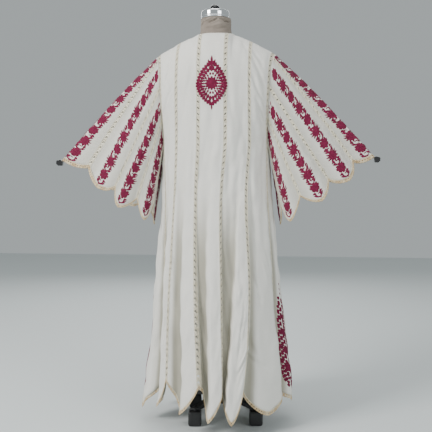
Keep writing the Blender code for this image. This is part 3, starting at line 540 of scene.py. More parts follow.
def sleeve_relief(v, s, side):
    """Creases and soft waves of one sleeve, fading out at its strips."""
    down = s * SLEEVE_LENGTH
    width = sleeve_gore_width(s)
    reach = (1, SLEEVE_LENGTH, 1, SLEEVE_LENGTH, 1, 1)
    creases = np.array(SLEEVE_CREASES) * reach
    lean = 0.12 if side > 0 else -0.09
    total = crease_height(v + lean, down, creases, SLEEVE_GORE_MEAN, lap=SLEEVE_GORES)
    waves = wave_height(v * SLEEVE_GORE_MEAN + 0.37 * side, down + 0.2 * side) * 0.8
    beside = np.abs(np.mod(v, 1.0) - 0.5) * width
    calm = 0.30 + 0.70 * smooth_step((beside - 0.004) / 0.018)
    return (total + waves) * calm * smooth_step(s / 0.05 + 0.1)


# Building pieces from arrays


def grid_faces(rows, columns, closed_rows=False, closed_columns=False):
    """Quads between each grid point, the next in its row, and the two below, as an array."""
    last_row = rows if closed_rows else rows - 1
    last_column = columns if closed_columns else columns - 1
    row, place = np.meshgrid(np.arange(last_row), np.arange(last_column), indexing="ij")
    after, under = (place + 1) % columns, (row + 1) % rows
    here, below = row * columns, under * columns
    return np.stack([here + place, here + after, below + after, below + place], -1).reshape(-1, 4)


def make_piece(name, points, faces, finish, stands_for=(), uv=None, thickness=None, painted_shade=None):
    """An object at the origin from arrays of points and quads. UVs and the share of painted shade
    are given per point."""
    points = np.asarray(points, float).reshape(-1, 3)
    faces = np.asarray(faces, int)
    mesh = bpy.data.meshes.new(name)
    mesh.vertices.add(len(points))
    mesh.vertices.foreach_set("co", points.astype(np.float32).ravel())
    mesh.loops.add(faces.size)
    mesh.loops.foreach_set("vertex_index", faces.astype(np.int32).ravel())
    mesh.polygons.add(len(faces))
    mesh.polygons.foreach_set("loop_start", np.arange(0, faces.size, 4, dtype=np.int32))
    mesh.update(calc_edges=True)
    if uv is not None:
        layer = mesh.uv_layers.new(name="cloth")
        layer.data.foreach_set("uv", np.asarray(uv, np.float32).reshape(-1, 2)[faces.ravel()].ravel())
    if painted_shade is not None:
        shade = mesh.attributes.new("painted_shade", "FLOAT", "POINT")
        shade.data.foreach_set("value", np.asarray(painted_shade, np.float32).ravel())
    mesh.validate()
    mesh.shade_smooth()
    mesh.materials.append(finish)
    made = bpy.data.objects.new(name, mesh)
    bpy.context.scene.collection.objects.link(made)
    if thickness:
        wall = made.modifiers.new("cloth thickness", "SOLIDIFY")
        wall.thickness = thickness
        wall.offset = 0.0
    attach(made, "root")
    if stands_for:
        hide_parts(*stands_for)
    return made


def flat_size(points):
    """Longest row and longest column of a grid of points, and its area by half cross products."""
    across = np.linalg.norm(np.diff(points, axis=1), axis=-1).sum(1).max()
    down = np.linalg.norm(np.diff(points, axis=0), axis=-1).sum(0).max()
    first = points[1:, 1:] - points[:-1, :-1]
    second = points[1:, :-1] - points[:-1, 1:]
    area = np.linalg.norm(np.cross(first, second), axis=-1).sum() / 2
    return round(float(across), 4), round(float(down), 4), float(area)


def declare_sheet(piece, points, extra=()):
    """The box round the cloth's cut and its area, worked out and not kept."""
    width, length, area = flat_size(points)
    list(extra)


def swept(path, radius, across, sides=6, closed=False):
    """A tube: circles of the radius round each path point, in the plane of its two side
    directions, each across direction made square to the path."""
    ahead = np.gradient(path, axis=0)
    if closed:
        ahead = np.roll(path, -1, 0) - np.roll(path, 1, 0)
    ahead = unit(ahead)
    first = unit(across - ahead * (across * ahead).sum(-1, keepdims=True))
    second = np.cross(ahead, first)
    angle = 2 * np.pi * np.arange(sides) / sides
    radius = np.broadcast_to(np.asarray(radius, float), (len(path),))[:, None, None]
    ring = np.cos(angle)[None, :, None] * first[:, None] + np.sin(angle)[None, :, None] * second[:, None]
    return path[:, None] + radius * ring, grid_faces(len(path), sides, closed, True)


def cord(path, outward, along, lift, radius, girth, sides=6, closed=False):
    """A tube lifted off the path. Its UV is the way round and the way along, in metres."""
    ring, faces = swept(path + outward * lift, radius, outward, sides, closed)
    around = np.broadcast_to(np.arange(sides) / sides * girth, ring.shape[:2])
    return ring, faces, np.stack([around, np.broadcast_to(along[:, None], ring.shape[:2])], -1)


def gather(parts):
    """Several (points, faces, uv) shapes in one, each one's faces counted on."""
    points, faces, uvs, start = [], [], [], 0
    for shape in parts:
        some = np.asarray(shape[0]).reshape(-1, 3)
        points.append(some)
        faces.append(np.asarray(shape[1]) + start)
        uvs.append(np.asarray(shape[2]).reshape(-1, 2) if len(shape) > 2 else np.zeros((len(some), 2)))
        start += len(some)
    return np.concatenate(points), np.concatenate(faces), np.concatenate(uvs)


# Materials


class Wire:
    """A socket in a material. Arithmetic on it adds Math nodes."""

    def __init__(self, finish, socket):
        self.finish, self.socket = finish, socket

    def maths(self, operation, *values):
        return self.finish.node("ShaderNodeMath", {"operation": operation}, dict(enumerate(values)))

    def __add__(self, other):
        return self.maths("ADD", self, other)

    def __radd__(self, other):
        return self.maths("ADD", other, self)

    def __sub__(self, other):
        return self.maths("SUBTRACT", self, other)

    def __rsub__(self, other):
        return self.maths("SUBTRACT", other, self)

    def __mul__(self, other):
        return self.maths("MULTIPLY", self, other)

    def sine(self):
        return self.maths("SINE", self)

    def held(self):
        return self.finish.node("ShaderNodeClamp", {}, {"Value": self})


class Finish:
    """One material: its nodes, and the main shader that they feed."""

    def __init__(self, name, colour, roughness, **constants):
        self.material = bpy.data.materials.new(name)
        self.material.use_nodes = True
        self.tree = self.material.node_tree
        self.shader = self.tree.nodes["Principled BSDF"]
        self.material.diffuse_color = (*colour, 1.0)
        self.feed("Base Color", (*colour, 1.0))
        self.feed("Roughness", roughness)
        for socket, value in constants.items():
            self.feed(socket.replace("_", " "), value)

    def node(self, kind, settings, inputs, output=0):
        """Adds a node: settings first, then the values or wires of its sockets."""
        made = self.tree.nodes.new(kind)
        for name, value in settings.items():
            setattr(made, name, value)
        for socket, value in inputs.items():
            self.fill(made, socket, value)
        return Wire(self, made.outputs[output])

    def fill(self, node, socket, value):
        """A value or a wire into a node's socket."""
        if isinstance(value, Wire):
            self.tree.links.new(value.socket, node.inputs[socket])
        else:
            node.inputs[socket].default_value = value

    def feed(self, socket, value):
        """A value or a wire into a socket of the main shader."""
        self.fill(self.shader, socket, value)

    def cloth_place(self):
        """The piece's own UV map, in metres of cloth, as u and v wires."""
        uv = self.node("ShaderNodeUVMap", {"uv_map": "cloth"}, {})
        split = self.node("ShaderNodeSeparateXYZ", {}, {0: uv})
        down = Wire(self, split.socket.node.outputs[1])
        return uv, split, down

    def object_place(self):
        """Object coordinates, in metres."""
        return self.node("ShaderNodeTexCoord", {}, {}, "Object")

    def noise(self, place, scale, detail=2.0, rough=0.5, stretch=(1.0, 1.0, 1.0)):
        """Noise of about scale turns per metre, stretched along its axes."""
        turned = self.node("ShaderNodeMapping", {}, {"Vector": place, "Scale": stretch})
        inputs = {"Vector": turned, "Scale": scale, "Detail": detail, "Roughness": rough}
        return self.node("ShaderNodeTexNoise", {}, inputs)

    def blend(self, share, first, second):
        """Colour first where share is 0 and second where it is 1."""
        first, second = (one if isinstance(one, Wire) else (*one, 1.0) for one in (first, second))
        return self.node("ShaderNodeMix", {"data_type": "RGBA"}, {0: share, 6: first, 7: second}, 2)

    def bump(self, height, distance, strength=1.0):
        """A height in turns of distance metres into the shader's normal."""
        inputs = {"Height": height, "Distance": distance, "Strength": strength}
        normal = self.node("ShaderNodeBump", {}, inputs)
        self.feed("Normal", normal)


def cotton_finish():
    """Off-white handloom cotton: fine cross ribs with thicker slubs in both directions."""
    finish = Finish("off-white cotton", (0.80, 0.775, 0.71), 0.86, Sheen_Weight=0.12, Sheen_Roughness=0.5)
    uv, across, down = finish.cloth_place()
    slub_across = finish.noise(uv, 100.0, 3.0, 0.6, (0.32, 6.5, 1.0))
    slub_down = finish.noise(uv, 100.0, 3.0, 0.6, (7.5, 0.25, 1.0))
    broad = finish.noise(uv, 9.0, 2.0, 0.5, (1.0, 1.0, 1.0))
    ribs = (down * 4200.0).sine()
    warp = (across * 5200.0).sine()
    share = (slub_across * 0.6 + slub_down * 0.25 + broad * 0.35 - 0.25).held()
    woven = finish.blend(share, (0.72, 0.70, 0.64), (0.88, 0.87, 0.83))
    # painted shade: the cotton's colour blended towards dark beige by each piece's per-point shade share,
    # in fold valleys and sleeve flutes
    painted_shade = finish.node("ShaderNodeAttribute", {"attribute_name": "painted_shade"}, {}, "Fac")
    finish.feed("Base Color", finish.blend(painted_shade, woven, (0.35, 0.33, 0.26)))
    finish.feed("Roughness", 0.92 - share * 0.12)
    finish.bump(slub_across * 0.9 + slub_down * 0.5 + ribs * 0.10 + warp * 0.06, 0.0011, 0.80)
    return finish.material


def cord_finish(name, dark, light, turns):
    """Twisted cord: slanting strands by the sine of both lengths."""
    finish = Finish(name, light, 0.72, Sheen_Weight=0.1)
    uv, across, down = finish.cloth_place()
    strands = (across * turns * 0.8 + down * turns).sine()
    worn = finish.noise(uv, 160.0, 2.0, 0.5)
    patches = finish.noise(uv, 48.0, 2.0, 0.6)
    share = (strands * 0.30 + worn * 0.6 + patches * 1.6 - 0.60).held()
    finish.feed("Base Color", finish.blend(share, dark, light))
    finish.bump(strands * 0.6 + worn * 0.4, 0.0006, 0.8)
    return finish.material


def thread_finish():
    """Raspberry embroidery thread: fine stitches side by side, lighter where they catch light."""
    finish = Finish(
        "raspberry thread", (0.22, 0.004, 0.050), 0.62, Sheen_Weight=0.04, Specular_IOR_Level=0.25,
    )
    uv, across, down = finish.cloth_place()
    sway = finish.noise(uv, 300.0, 2.0, 0.5)
    stitches = (down * 6800.0 + sway * 3.0).sine()
    patches = finish.noise(uv, 55.0, 2.0, 0.6)
    share = (stitches * 0.22 + patches * 1.1 - 0.12).held()
    finish.feed("Base Color", finish.blend(share, (0.088, 0.001, 0.017), (0.280, 0.006, 0.066)))
    finish.bump(stitches * 0.7 + sway * 0.5, 0.0005, 0.7)
    return finish.material


def jersey_finish():
    """Beige-grey jersey of the form: tiny knit dots and a soft mottle."""
    finish = Finish("beige-grey jersey", (0.31, 0.26, 0.22), 0.92, Sheen_Weight=0.05)
    place = finish.object_place()
    knit = finish.noise(place, 900.0, 1.0, 0.5, (1.0, 1.0, 0.6))
    mottle = finish.noise(place, 22.0, 3.0, 0.55)
    finish.feed("Base Color", finish.blend(mottle, (0.175, 0.145, 0.120), (0.30, 0.255, 0.215)))
    finish.bump(knit, 0.0005, 0.5)
    return finish.material


def chrome_finish():
    """Polished chrome, a little smeared."""
    finish = Finish("polished chrome", (0.82, 0.83, 0.85), 0.08, Metallic=1.0)
    smear = finish.noise(finish.object_place(), 35.0, 3.0, 0.6)
    finish.feed("Roughness", 0.05 + smear * 0.10)
    return finish.material


def black_finish(name, colour, rough, spread):
    """Black with a slightly uneven gloss."""
    finish = Finish(name, colour, rough)
    grain = finish.noise(finish.object_place(), 60.0, 4.0, 0.6)
    finish.feed("Roughness", rough - spread / 2 + grain * spread)
    return finish.material


COTTON = cotton_finish()
CREAM_CORD = cord_finish("cream cord", (0.66, 0.59, 0.42), (0.90, 0.86, 0.72), 2600.0)
CROCHET = cord_finish("cream and tan crochet", (0.42, 0.24, 0.08), (0.86, 0.74, 0.50), 1500.0)
THREAD = thread_finish()
JERSEY = jersey_finish()
CHROME = chrome_finish()
KNOB_BLACK = black_finish("glossy black", (0.006, 0.006, 0.007), 0.07, 0.04)
STAND_BLACK = black_finish("black stand paint", (0.012, 0.012, 0.013), 0.38, 0.18)
CLIP_BLACK = black_finish("black clip plastic", (0.014, 0.014, 0.015), 0.34, 0.16)


# The robe's cotton, gore by gore


def edging_share(height):
    """A height above the hem as a share of the skirt's rows."""
    return height / (UNDERARM_HEIGHT - 0.1)


def across_gore(columns=25):
    """Shares across a gore, closer together beside both seams."""
    middle = np.linspace(0.07, 0.93, columns)
    return np.concatenate([[0.0, 0.012, 0.027, 0.046], middle, [0.954, 0.973, 0.988, 1.0]])


def seam_pull(beside, down):
    """Beside a strip: a rolled edge as a narrow bell 1.8 mm in, and small puckers, a sine at the
    slots' pitch that dies away over 9 mm."""
    roll = 0.0006 * np.exp(-(((beside - 0.0018) / 0.0012) ** 2))
    pucker = 0.0006 * np.sin(2 * np.pi * down / SLOT_PITCH) * np.exp(-beside / 0.009)
    return roll + pucker


def fold_painted_shade(u, z):
    """Painted shade between folds: the thin cloth's colour made darker and more beige where it hangs back,
    a soft step on the fold height, 4 mm wide high up and 10 mm low down, growing in from 0.84 to 0.56 m."""
    deep = smooth_step((0.001 - fold_height(u, z)) / (0.004 + 0.006 * smooth_step((0.80 - z) / 0.35)))
    return 0.90 * deep * smooth_step((0.84 - z) / 0.28)


def cotton_gores():
    """Body cloth: each gore's grid on the robe's surface, moved out by its relief."""
    made = []
    for gore, name in enumerate(GORE_NAMES):
        lower = np.linspace(1.0, 2.0 - edging_share(EDGING_HEIGHT), 150)
        upper = np.concatenate([[NECK_START, 0.008, 0.020], np.linspace(0.035, 1.0, 68)])
        rows = lower if gore in SIDE_GORES else np.concatenate([upper, lower[1:]])
        q, w = np.meshgrid(rows, across_gore(), indexing="ij")
        half = strip_half(q)
        u = gore - 0.5 + half + w * (1 - 2 * half)
        base = robe_point(u, q)
        beside = np.minimum(w, 1 - w) * (1 - 2 * half) * gore_width(q)
        relief = body_relief(u, q) + seam_pull(beside, way_down(q))
        points = base + robe_normals(u, q) * relief[..., None]
        uv = np.stack([(w - 0.5) * gore_width(q) + 0.31 * gore, way_down(q) + 0.17 * gore], -1)
        # the fold valleys get painted shade through the per-point shade share
        piece = make_piece(
            f"cotton_{name}", points, grid_faces(*q.shape), COTTON,
            stands_for=[f"gore_{name}"], uv=uv, thickness=SHOWN_WALL, painted_shade=fold_painted_shade(u, base[..., 2]),
        )
        made.append((piece, base))
    return made


def cotton_sleeves(side, mark):
    """Sleeve cloth: eight gores on the sleeve's surface, moved out by their relief."""
    surface, made = sleeve_surface(side), []
    for gore in range(SLEEVE_GORES):
        rows = np.linspace(0.0, 1 - EDGING_HEIGHT / SLEEVE_LENGTH, 84)
        s, w = np.meshgrid(rows, across_gore(20), indexing="ij")
        margin = SLEEVE_HALF_TOP + (SLEEVE_HALF - SLEEVE_HALF_TOP) * s
        v = gore - 0.5 + margin + w * (1 - 2 * margin)
        base = surface(v, s)
        width = sleeve_gore_width(s)
        beside = np.minimum(w, 1 - w) * (1 - 2 * margin) * width
        relief = sleeve_relief(v, s, side) + seam_pull(beside, s * SLEEVE_LENGTH)
        points = base + normals_of(surface, v, s, flip=side > 0) * relief[..., None]
        uv = np.stack([(w - 0.5) * width + 0.23 * gore, s * SLEEVE_LENGTH + 0.19 * gore + 2 * side], -1)
        faces = grid_faces(*s.shape)
        # painted shade: darker towards the strips, in the valleys between flutes, on top of a slight beige
        # darkening all over
        piece = make_piece(
            f"sleeve_cotton_{mark}_{gore}", points, faces if side < 0 else faces[:, ::-1], COTTON,
            stands_for=[f"sleeve_{mark}_{gore}"], uv=uv, thickness=SHOWN_WALL,
            painted_shade=0.15 + 0.35 * smooth_step(0.5 - 0.5 * np.cos(2 * np.pi * v)),
        )
        made.append((piece, base))
    return made


# Openwork strips and crocheted edgings


def cell_rings(wide, long, slot_long, slot_wide, tilt, rim, swell, scallop=0.0):
    """One openwork cell as rings of 16 points: the slot's edge and its raised rim are ellipses
    turned by the tilt, and the last ring is the cell's rectangle. Gives across and along in
    metres from the cell's middle, and height."""
    edge = np.array([
        (1, 0), (1, 0.5), (1, 1), (0.5, 1), (0, 1), (-0.5, 1), (-1, 1), (-1, 0.5),
        (-1, 0), (-1, -0.5), (-1, -1), (-0.5, -1), (0, -1), (0.5, -1), (1, -1), (1, -0.5),
    ])
    turn = 2 * np.pi * (np.arange(16) - 4) / 16
    ahead = np.array([math.sin(tilt), math.cos(tilt)])
    aside = np.array([-ahead[1], ahead[0]])
    rings, heights = [], []
    for grown, height in ((0.0, 0.35 * swell), (rim, swell)):
        reach = (slot_long / 2 + grown) * np.cos(turn)[:, None] * ahead
        breadth = (slot_wide / 2 + grown) * np.sin(turn)[:, None] * aside
        rings.append(reach + breadth)
        heights.append(np.full(16, height))
    box = edge * (wide / 2, long / 2)
    box[:, 0] += np.where(edge[:, 0] > 0.9, scallop * (1 - edge[:, 1] ** 2), 0)
    rings.append(box)
    heights.append(np.zeros(16))
    return np.stack(rings), np.stack(heights)


def even_places(path, pitch, closed=False):
    """A whole number of steps of about the pitch along a path, as a function from step number to
    the path's own parameter, read off its running length."""
    if closed:
        path = np.concatenate([path, path[:1]])
    length = running_length(path)
    count = max(1, round(length[-1] / pitch))
    share = np.linspace(0, 1, len(length))
    return count, length[-1] / count, lambda step: np.interp(step / count * length[-1], length, share)


def openwork(count, long, rings, heights, place, lean=1, handed=1):
    """Cells side by side: place(across, step) gives each corner's point and outward direction,
    and the height lifts it. Neighbouring cells share their boundary points' places. lean -1
    slants the slots the other way, and handed is -1 where across times down points inwards."""
    rings = rings * (lean, 1)
    step = np.arange(count)[:, None, None] + 0.5 + rings[None, ..., 1] / long
    across = np.broadcast_to(rings[None, ..., 0], step.shape)
    points, outward = place(across, step)
    points = points + outward * heights[None, ..., None]
    ring = grid_faces(rings.shape[0], rings.shape[1], False, True)
    if lean * handed > 0:
        ring = ring[:, ::-1]
    faces = (np.arange(count)[:, None, None] * rings.shape[0] * rings.shape[1] + ring[None]).reshape(-1, 4)
    uv = np.stack([across, step * long], -1)
    return points.reshape(-1, 3), faces, uv.reshape(-1, 2)


def welded(shape):
    """Corners within a hundredth of a millimetre made one."""
    points, faces, uv = shape
    places = np.round(points / 1e-5).astype(np.int64)
    _, first, index = np.unique(places, axis=0, return_index=True, return_inverse=True)
    return points[first], index.reshape(-1)[faces], uv[first]


def slotted_strips(seams, samples, start, end, shell, half, lean, handed):
    """Strips of slanted slots along each seam from row start to row end, and a cord on both of
    their edges. The shell gives a point and its outward direction, half(row) is half of the
    strip's width in gores, and the slots of every other seam lean the other way."""
    rings, heights = cell_rings(
        STRIP_WIDTH, SLOT_PITCH, SLOT_LENGTH, SLOT_WIDTH, SLOT_TILT, SLOT_RIM, STRIP_SWELL,
    )
    strips, cords = [], []
    for seam in range(seams):
        rows = np.linspace(start, end, samples)
        count, long, read = even_places(shell(np.full_like(rows, seam + 0.5), rows)[0], SLOT_PITCH)

        def place(across, step, seam=seam, read=read, count=count):
            row = start + (end - start) * read(np.clip(step, 0, count))
            return shell(seam + 0.5 + across / (STRIP_WIDTH / 2) * half(row), row)

        side = lean if seam % 2 else -lean
        strips.append(openwork(count, long, rings, heights, place, side, handed))
        step = np.linspace(0, count, count * 2 + 1)
        for edge in (-1, 1):
            path, outward = place(np.full_like(step, edge * (STRIP_WIDTH / 2 - 0.0004)), step)
            cords.append(cord(path, outward, step * long, *STRIP_CORD))
    return strips, cords


def body_strips():
    """Twelve strips from the top edge or the armhole down to the hem's crochet."""
    end = 2.0 - edging_share(EDGING_HEIGHT)
    return slotted_strips(BODY_GORES, 400, NECK_START, end, robe_shell, strip_half, 1, 1)


def sleeve_strips(side):
    """Eight strips from the armhole to each notch of the sleeve's edge."""
    end = 1 - EDGING_HEIGHT / SLEEVE_LENGTH
    return slotted_strips(SLEEVE_GORES, 200, 0.0, end, sleeve_shell(side), sleeve_strip_half, side, -side)


def crochet_edging(gores, samples, top, end, shell, handed):
    """A closed row of crocheted cells between rows top and end, all round the petals, each with a
    small eye and a rounded outer side, and the cord that joins it to the cloth."""
    turns = np.linspace(0, gores, samples, endpoint=False) + 0.5
    edge = shell(turns, np.full_like(turns, end))[0]
    count, long, read = even_places(edge, EDGING_PITCH, closed=True)
    rings, heights = cell_rings(EDGING_HEIGHT, long, 0.0052, 0.0040, 0.0, 0.0014, 0.0011, scallop=0.0020)

    def place_on(around, down):
        return shell(0.5 + around * gores, top + (end - top) * down)

    def place(across, step):
        around = read(np.mod(step, count)) + np.floor(step / count)
        return place_on(around, across / EDGING_HEIGHT + 0.5)

    step = np.linspace(0, count, count * 3, endpoint=False)
    path, outward = place_on(read(step), np.full_like(step, 0.02))
    joining = cord(path, outward, step * long, *EDGE_CORD, closed=True)
    return openwork(count, long, rings, heights, place, 1, handed), joining


def hem_edging():
    """The hem's crochet and cord."""
    top = 2.0 - edging_share(EDGING_HEIGHT)
    return crochet_edging(BODY_GORES, 2400, top, 2.0, robe_shell, -1)


def sleeve_edging(side):
    """A sleeve's crochet and cord."""
    top = 1 - EDGING_HEIGHT / SLEEVE_LENGTH
    return crochet_edging(SLEEVE_GORES, 1600, top, 1.0, sleeve_shell(side), side)


# Embroidery: every stitch group is a ribbon along a small path


RIBBON_POINTS = 7
RIBBON_ACROSS = np.array([-1.0, -0.6, 0.0, 0.6, 1.0])


def petal_ribbons(centre, count, inner, outer, wide, first=0.0, blunt=0.25):
    """Straight paths from the inner to the outer radius at even turns, widest past the middle."""
    turn = first + 2 * np.pi * np.arange(count) / count
    share = np.linspace(0, 1, RIBBON_POINTS)
    radius = inner + (outer - inner) * share
    path = np.stack([np.sin(turn)[:, None] * radius, np.cos(turn)[:, None] * radius], -1) + centre
    width = wide / 2 * (blunt + (1 - blunt) * np.sin(np.pi * share**0.8)) * np.ones((count, 1))
    return path, width


def disc_ribbon(centre, radius):
    """One round patch: half width is the root of 1 - x squared."""
    share = np.linspace(-0.98, 0.98, RIBBON_POINTS)
    path = np.stack([np.full(RIBBON_POINTS, centre[0]), centre[1] + radius * share], -1)
    return path[None], (radius * np.sqrt(1 - share**2))[None]


def arc_ribbon(centre, radius, start, end, wide, taper=0.35, stretch=1.0):
    """A piece of a circle or oval between two turns, thinner at both ends."""
    share = np.linspace(0, 1, RIBBON_POINTS)
    turn = start + (end - start) * share
    path = np.stack([centre[0] + radius * np.sin(turn), centre[1] + radius * stretch * np.cos(turn)], -1)
    return path[None], (wide / 2 * (taper + (1 - taper) * np.sin(np.pi * share)))[None]


def leaf_ribbon(start, end, bend, wide):
    """A bent leaf: a straight path pushed aside by a sine, widest in the middle."""
    share = np.linspace(0, 1, RIBBON_POINTS)
    start, end = np.array(start, float), np.array(end, float)
    along = end - start
    aside = np.array([along[1], -along[0]])
    path = start + share[:, None] * along + bend * np.sin(np.pi * share)[:, None] * aside
    return path[None], (wide / 2 * (0.12 + 0.88 * np.sin(np.pi * share**0.85)))[None]


def leaf_pair(start, end, bend, wide):
    """A leaf and its mirror image."""
    mirror = np.array([-1.0, 1.0])
    other = leaf_ribbon(start * mirror, end * mirror, -bend, wide)
    return joined(leaf_ribbon(start, end, bend, wide), other)


def joined(*groups):
    """Several groups of ribbons in one pair of arrays."""
    return np.concatenate([g[0] for g in groups]), np.concatenate([g[1] for g in groups])


def moved(group, x=0.0, y=0.0, scale=1.0, mirror=1.0):
    """The same ribbons, mirrored, scaled and shifted."""
    path, width = group
    return path * scale * (mirror, 1.0) + (x, y), width * scale


def ribbon_grid(group, rise):
    """Each ribbon's grid of places: path plus across direction times half width. Its height is
    the rise times a round dome across and a softer one along."""
    path, width = group
    ahead = unit(np.gradient(path, axis=1))
    aside = np.stack([ahead[..., 1], -ahead[..., 0]], -1)
    places = path[:, :, None] + aside[:, :, None] * width[:, :, None, None] * RIBBON_ACROSS[:, None]
    share = np.linspace(-1, 1, RIBBON_POINTS)[:, None]
    dome = np.sqrt(1 - RIBBON_ACROSS**2) * (1 - 0.55 * share**4)
    height = np.broadcast_to(rise * dome - 0.00025 * (np.abs(RIBBON_ACROSS) > 0.99), places.shape[:3])
    steps = np.linalg.norm(np.diff(path, axis=1), axis=-1)
    along = np.concatenate([np.zeros((len(path), 1)), np.cumsum(steps, 1)], 1)
    along = np.broadcast_to(along[:, :, None], places.shape[:3])
    uv = np.stack([width[:, :, None] * RIBBON_ACROSS, along], -1)
    uv = uv + np.arange(len(path))[:, None, None, None] * np.array([0.0131, 0.0077])
    return places, height, uv


def sewn(group, rise, lay):
    """Ribbons laid on a surface: lay(x, y) gives the cloth's point and outward direction."""
    places, height, uv = ribbon_grid(group, rise)
    points, outward = lay(places[..., 0], places[..., 1])
    points = points + outward * (height + 0.0005)[..., None]
    one = grid_faces(RIBBON_POINTS, len(RIBBON_ACROSS))
    per = RIBBON_POINTS * len(RIBBON_ACROSS)
    faces = (np.arange(len(group[0]))[:, None, None] * per + one[None]).reshape(-1, 4)
    return points.reshape(-1, 3), faces, uv.reshape(-1, 2)


def sleeve_motifs():
    """One repeat of the sleeve band: rosette, scroll, starburst, scroll."""
    rosette = joined(
        petal_ribbons((0, 0.0), 8, 0.003, 0.0170, 0.0126, blunt=0.60), disc_ribbon((0, 0.0), 0.0090),
    )
    burst = joined(
        petal_ribbons((0, 0.050), 12, 0.004, 0.0218, 0.0076, first=0.13, blunt=0.34),
        disc_ribbon((0, 0.050), 0.0088),
    )
    scroll = joined(
        arc_ribbon((0, 0.0250), 0.0098, -2.3, 2.6, 0.0080),
        arc_ribbon((0.0020, 0.0245), 0.0036, 0.4, 4.6, 0.0046),
        leaf_pair((-0.0085, 0.0150), (-0.0176, 0.0225), 0.2, 0.0084),
        leaf_ribbon((-0.0100, 0.0345), (-0.0172, 0.0272), -0.2, 0.0078),
        leaf_ribbon((0.0100, 0.0345), (0.0172, 0.0272), 0.2, 0.0074),
    )
    return joined(rosette, scroll, burst, moved(scroll, 0.0, 0.050, 1.0, -1.0))


# how far the band over the arm lies towards the back, in gores, and the repeat's length
BAND_TURN = 0.14
BAND_REPEAT = 0.100


def sleeve_bands(side):
    """The band down the middle of each sleeve gore, its repeats counted from the petal's tip."""
    surface, parts = sleeve_surface(side), []
    repeat = sleeve_motifs()
    for gore in range(SLEEVE_GORES):
        tip = surface(np.array([float(gore)]), np.array([1.0]))[0]
        top = surface(np.array([float(gore)]), np.array([0.0]))[0]
        length = float(np.linalg.norm(tip - top))
        group = joined(*(
            moved(repeat, 0.0, length - 0.050 - BAND_REPEAT * k, 1.0, 1.0 if k % 2 else -1.0)
            for k in range(6)
        ))
        inside = (group[0][..., 1].min(1) > 0.003) & (group[0][..., 1].max(1) < length - 0.0128)
        group = (group[0][inside], group[1][inside])

        def lay(x, y, gore=gore, length=length):
            s = y / length
            middle = gore + (BAND_TURN if gore == 0 else 0.0)
            beside = middle + np.where(x > 0, 0.22, -0.22)
            wide = np.linalg.norm(surface(beside, s) - surface(middle, s), axis=-1) / 0.22
            v = middle + np.clip(x * 1.25 / wide, -0.41, 0.41)
            outward = normals_of(surface, v, s, flip=side > 0)
            return surface(v, s) + outward * sleeve_relief(v, s, side)[..., None], outward

        points, faces, uv = sewn(group, 0.0008, lay)
        parts.append((points, faces if side < 0 else faces[:, ::-1], uv))
    return parts


# count, half width, half height, length and width of each ring of short petals
MEDALLION_RINGS = (
    (18, 0.0240, 0.0300, 0.0090, 0.0076),
    (26, 0.0300, 0.0450, 0.0150, 0.0106),
    (36, 0.0415, 0.0640, 0.0150, 0.0108),
)
MEDALLION_POINT = 1.42
MEDALLION_MIDDLE = 1.184


def medallion_group():
    """The back's pointed oval, about its middle: scalloped disc, ring of petals, wreath of short
    petals on a pointed oval, a bud above and a small loop below."""
    disc = joined(
        petal_ribbons((0, 0), 12, 0.006, 0.0240, 0.0104, blunt=0.50),
        disc_ribbon((0, 0), 0.0150),
    )
    wreath = []
    turn = np.linspace(0, 2 * np.pi, 721)
    share = np.linspace(0, 1, RIBBON_POINTS)
    for count, half_width, half_height, long, wide in MEDALLION_RINGS:
        line = np.stack([
            half_width * np.sign(np.sin(turn)) * np.abs(np.sin(turn)) ** MEDALLION_POINT,
            half_height * np.sign(np.cos(turn)) * np.abs(np.cos(turn)) ** MEDALLION_POINT,
        ], -1)
        run = running_length(line)
        at = (np.arange(count) + 0.5) / count * run[-1]
        oval = np.stack([np.interp(at, run, line[:, 0]), np.interp(at, run, line[:, 1])], -1)
        out = unit(unit(oval * (1 / half_width**2, 1 / half_height**2)) + unit(oval))
        path = oval[:, None] + out[:, None] * (share * long)[None, :, None]
        width = np.broadcast_to(wide / 2 * (0.42 + 0.58 * np.sin(np.pi * share**1.1)), path.shape[:2])
        wreath.append((path, width))
    bud = joined(
        leaf_ribbon((0, -0.040), (0, -0.068), 0.0, 0.0130),
        leaf_ribbon((0, -0.072), (0, -0.096), 0.0, 0.0085),
        leaf_pair((-0.001, -0.070), (-0.0115, -0.083), 0.25, 0.0080),
        leaf_pair((-0.004, -0.060), (-0.0165, -0.073), 0.2, 0.0085),
        leaf_pair((-0.008, -0.046), (-0.0225, -0.062), 0.2, 0.0085),
    )
    loop = joined(
        arc_ribbon((0, 0.066), 0.0075, -2.9, 2.9, 0.0042, stretch=1.2),
        leaf_ribbon((0, 0.074), (0, 0.092), 0.0, 0.0062),
        leaf_pair((-0.004, 0.058), (-0.016, 0.070), -0.2, 0.0080),
    )
    return joined(disc, *wreath, bud, loop)


def back_medallion():
    """The pointed oval on the back, its middle at its height above the floor."""
    q = np.linspace(0.05, 1.0, 400)
    line = robe_point(np.zeros_like(q), q)
    length = running_length(line)
    middle = np.interp(-MEDALLION_MIDDLE, -line[:, 2], length)

    def lay(x, y):
        row = np.interp(middle + y, length, q)
        right, left = (robe_point(np.full_like(row, u), row)[..., 0] for u in (0.25, -0.25))
        u = x * 0.5 / (right - left)
        outward = robe_normals(u, row)
        over_cords = 0.0016 * smooth_step((np.abs(x) - 0.033) / 0.006)
        lift = body_relief(u, row) + 0.0004 + over_cords
        return robe_point(u, row) + outward * lift[..., None], outward

    return sewn(medallion_group(), 0.0012, lay)


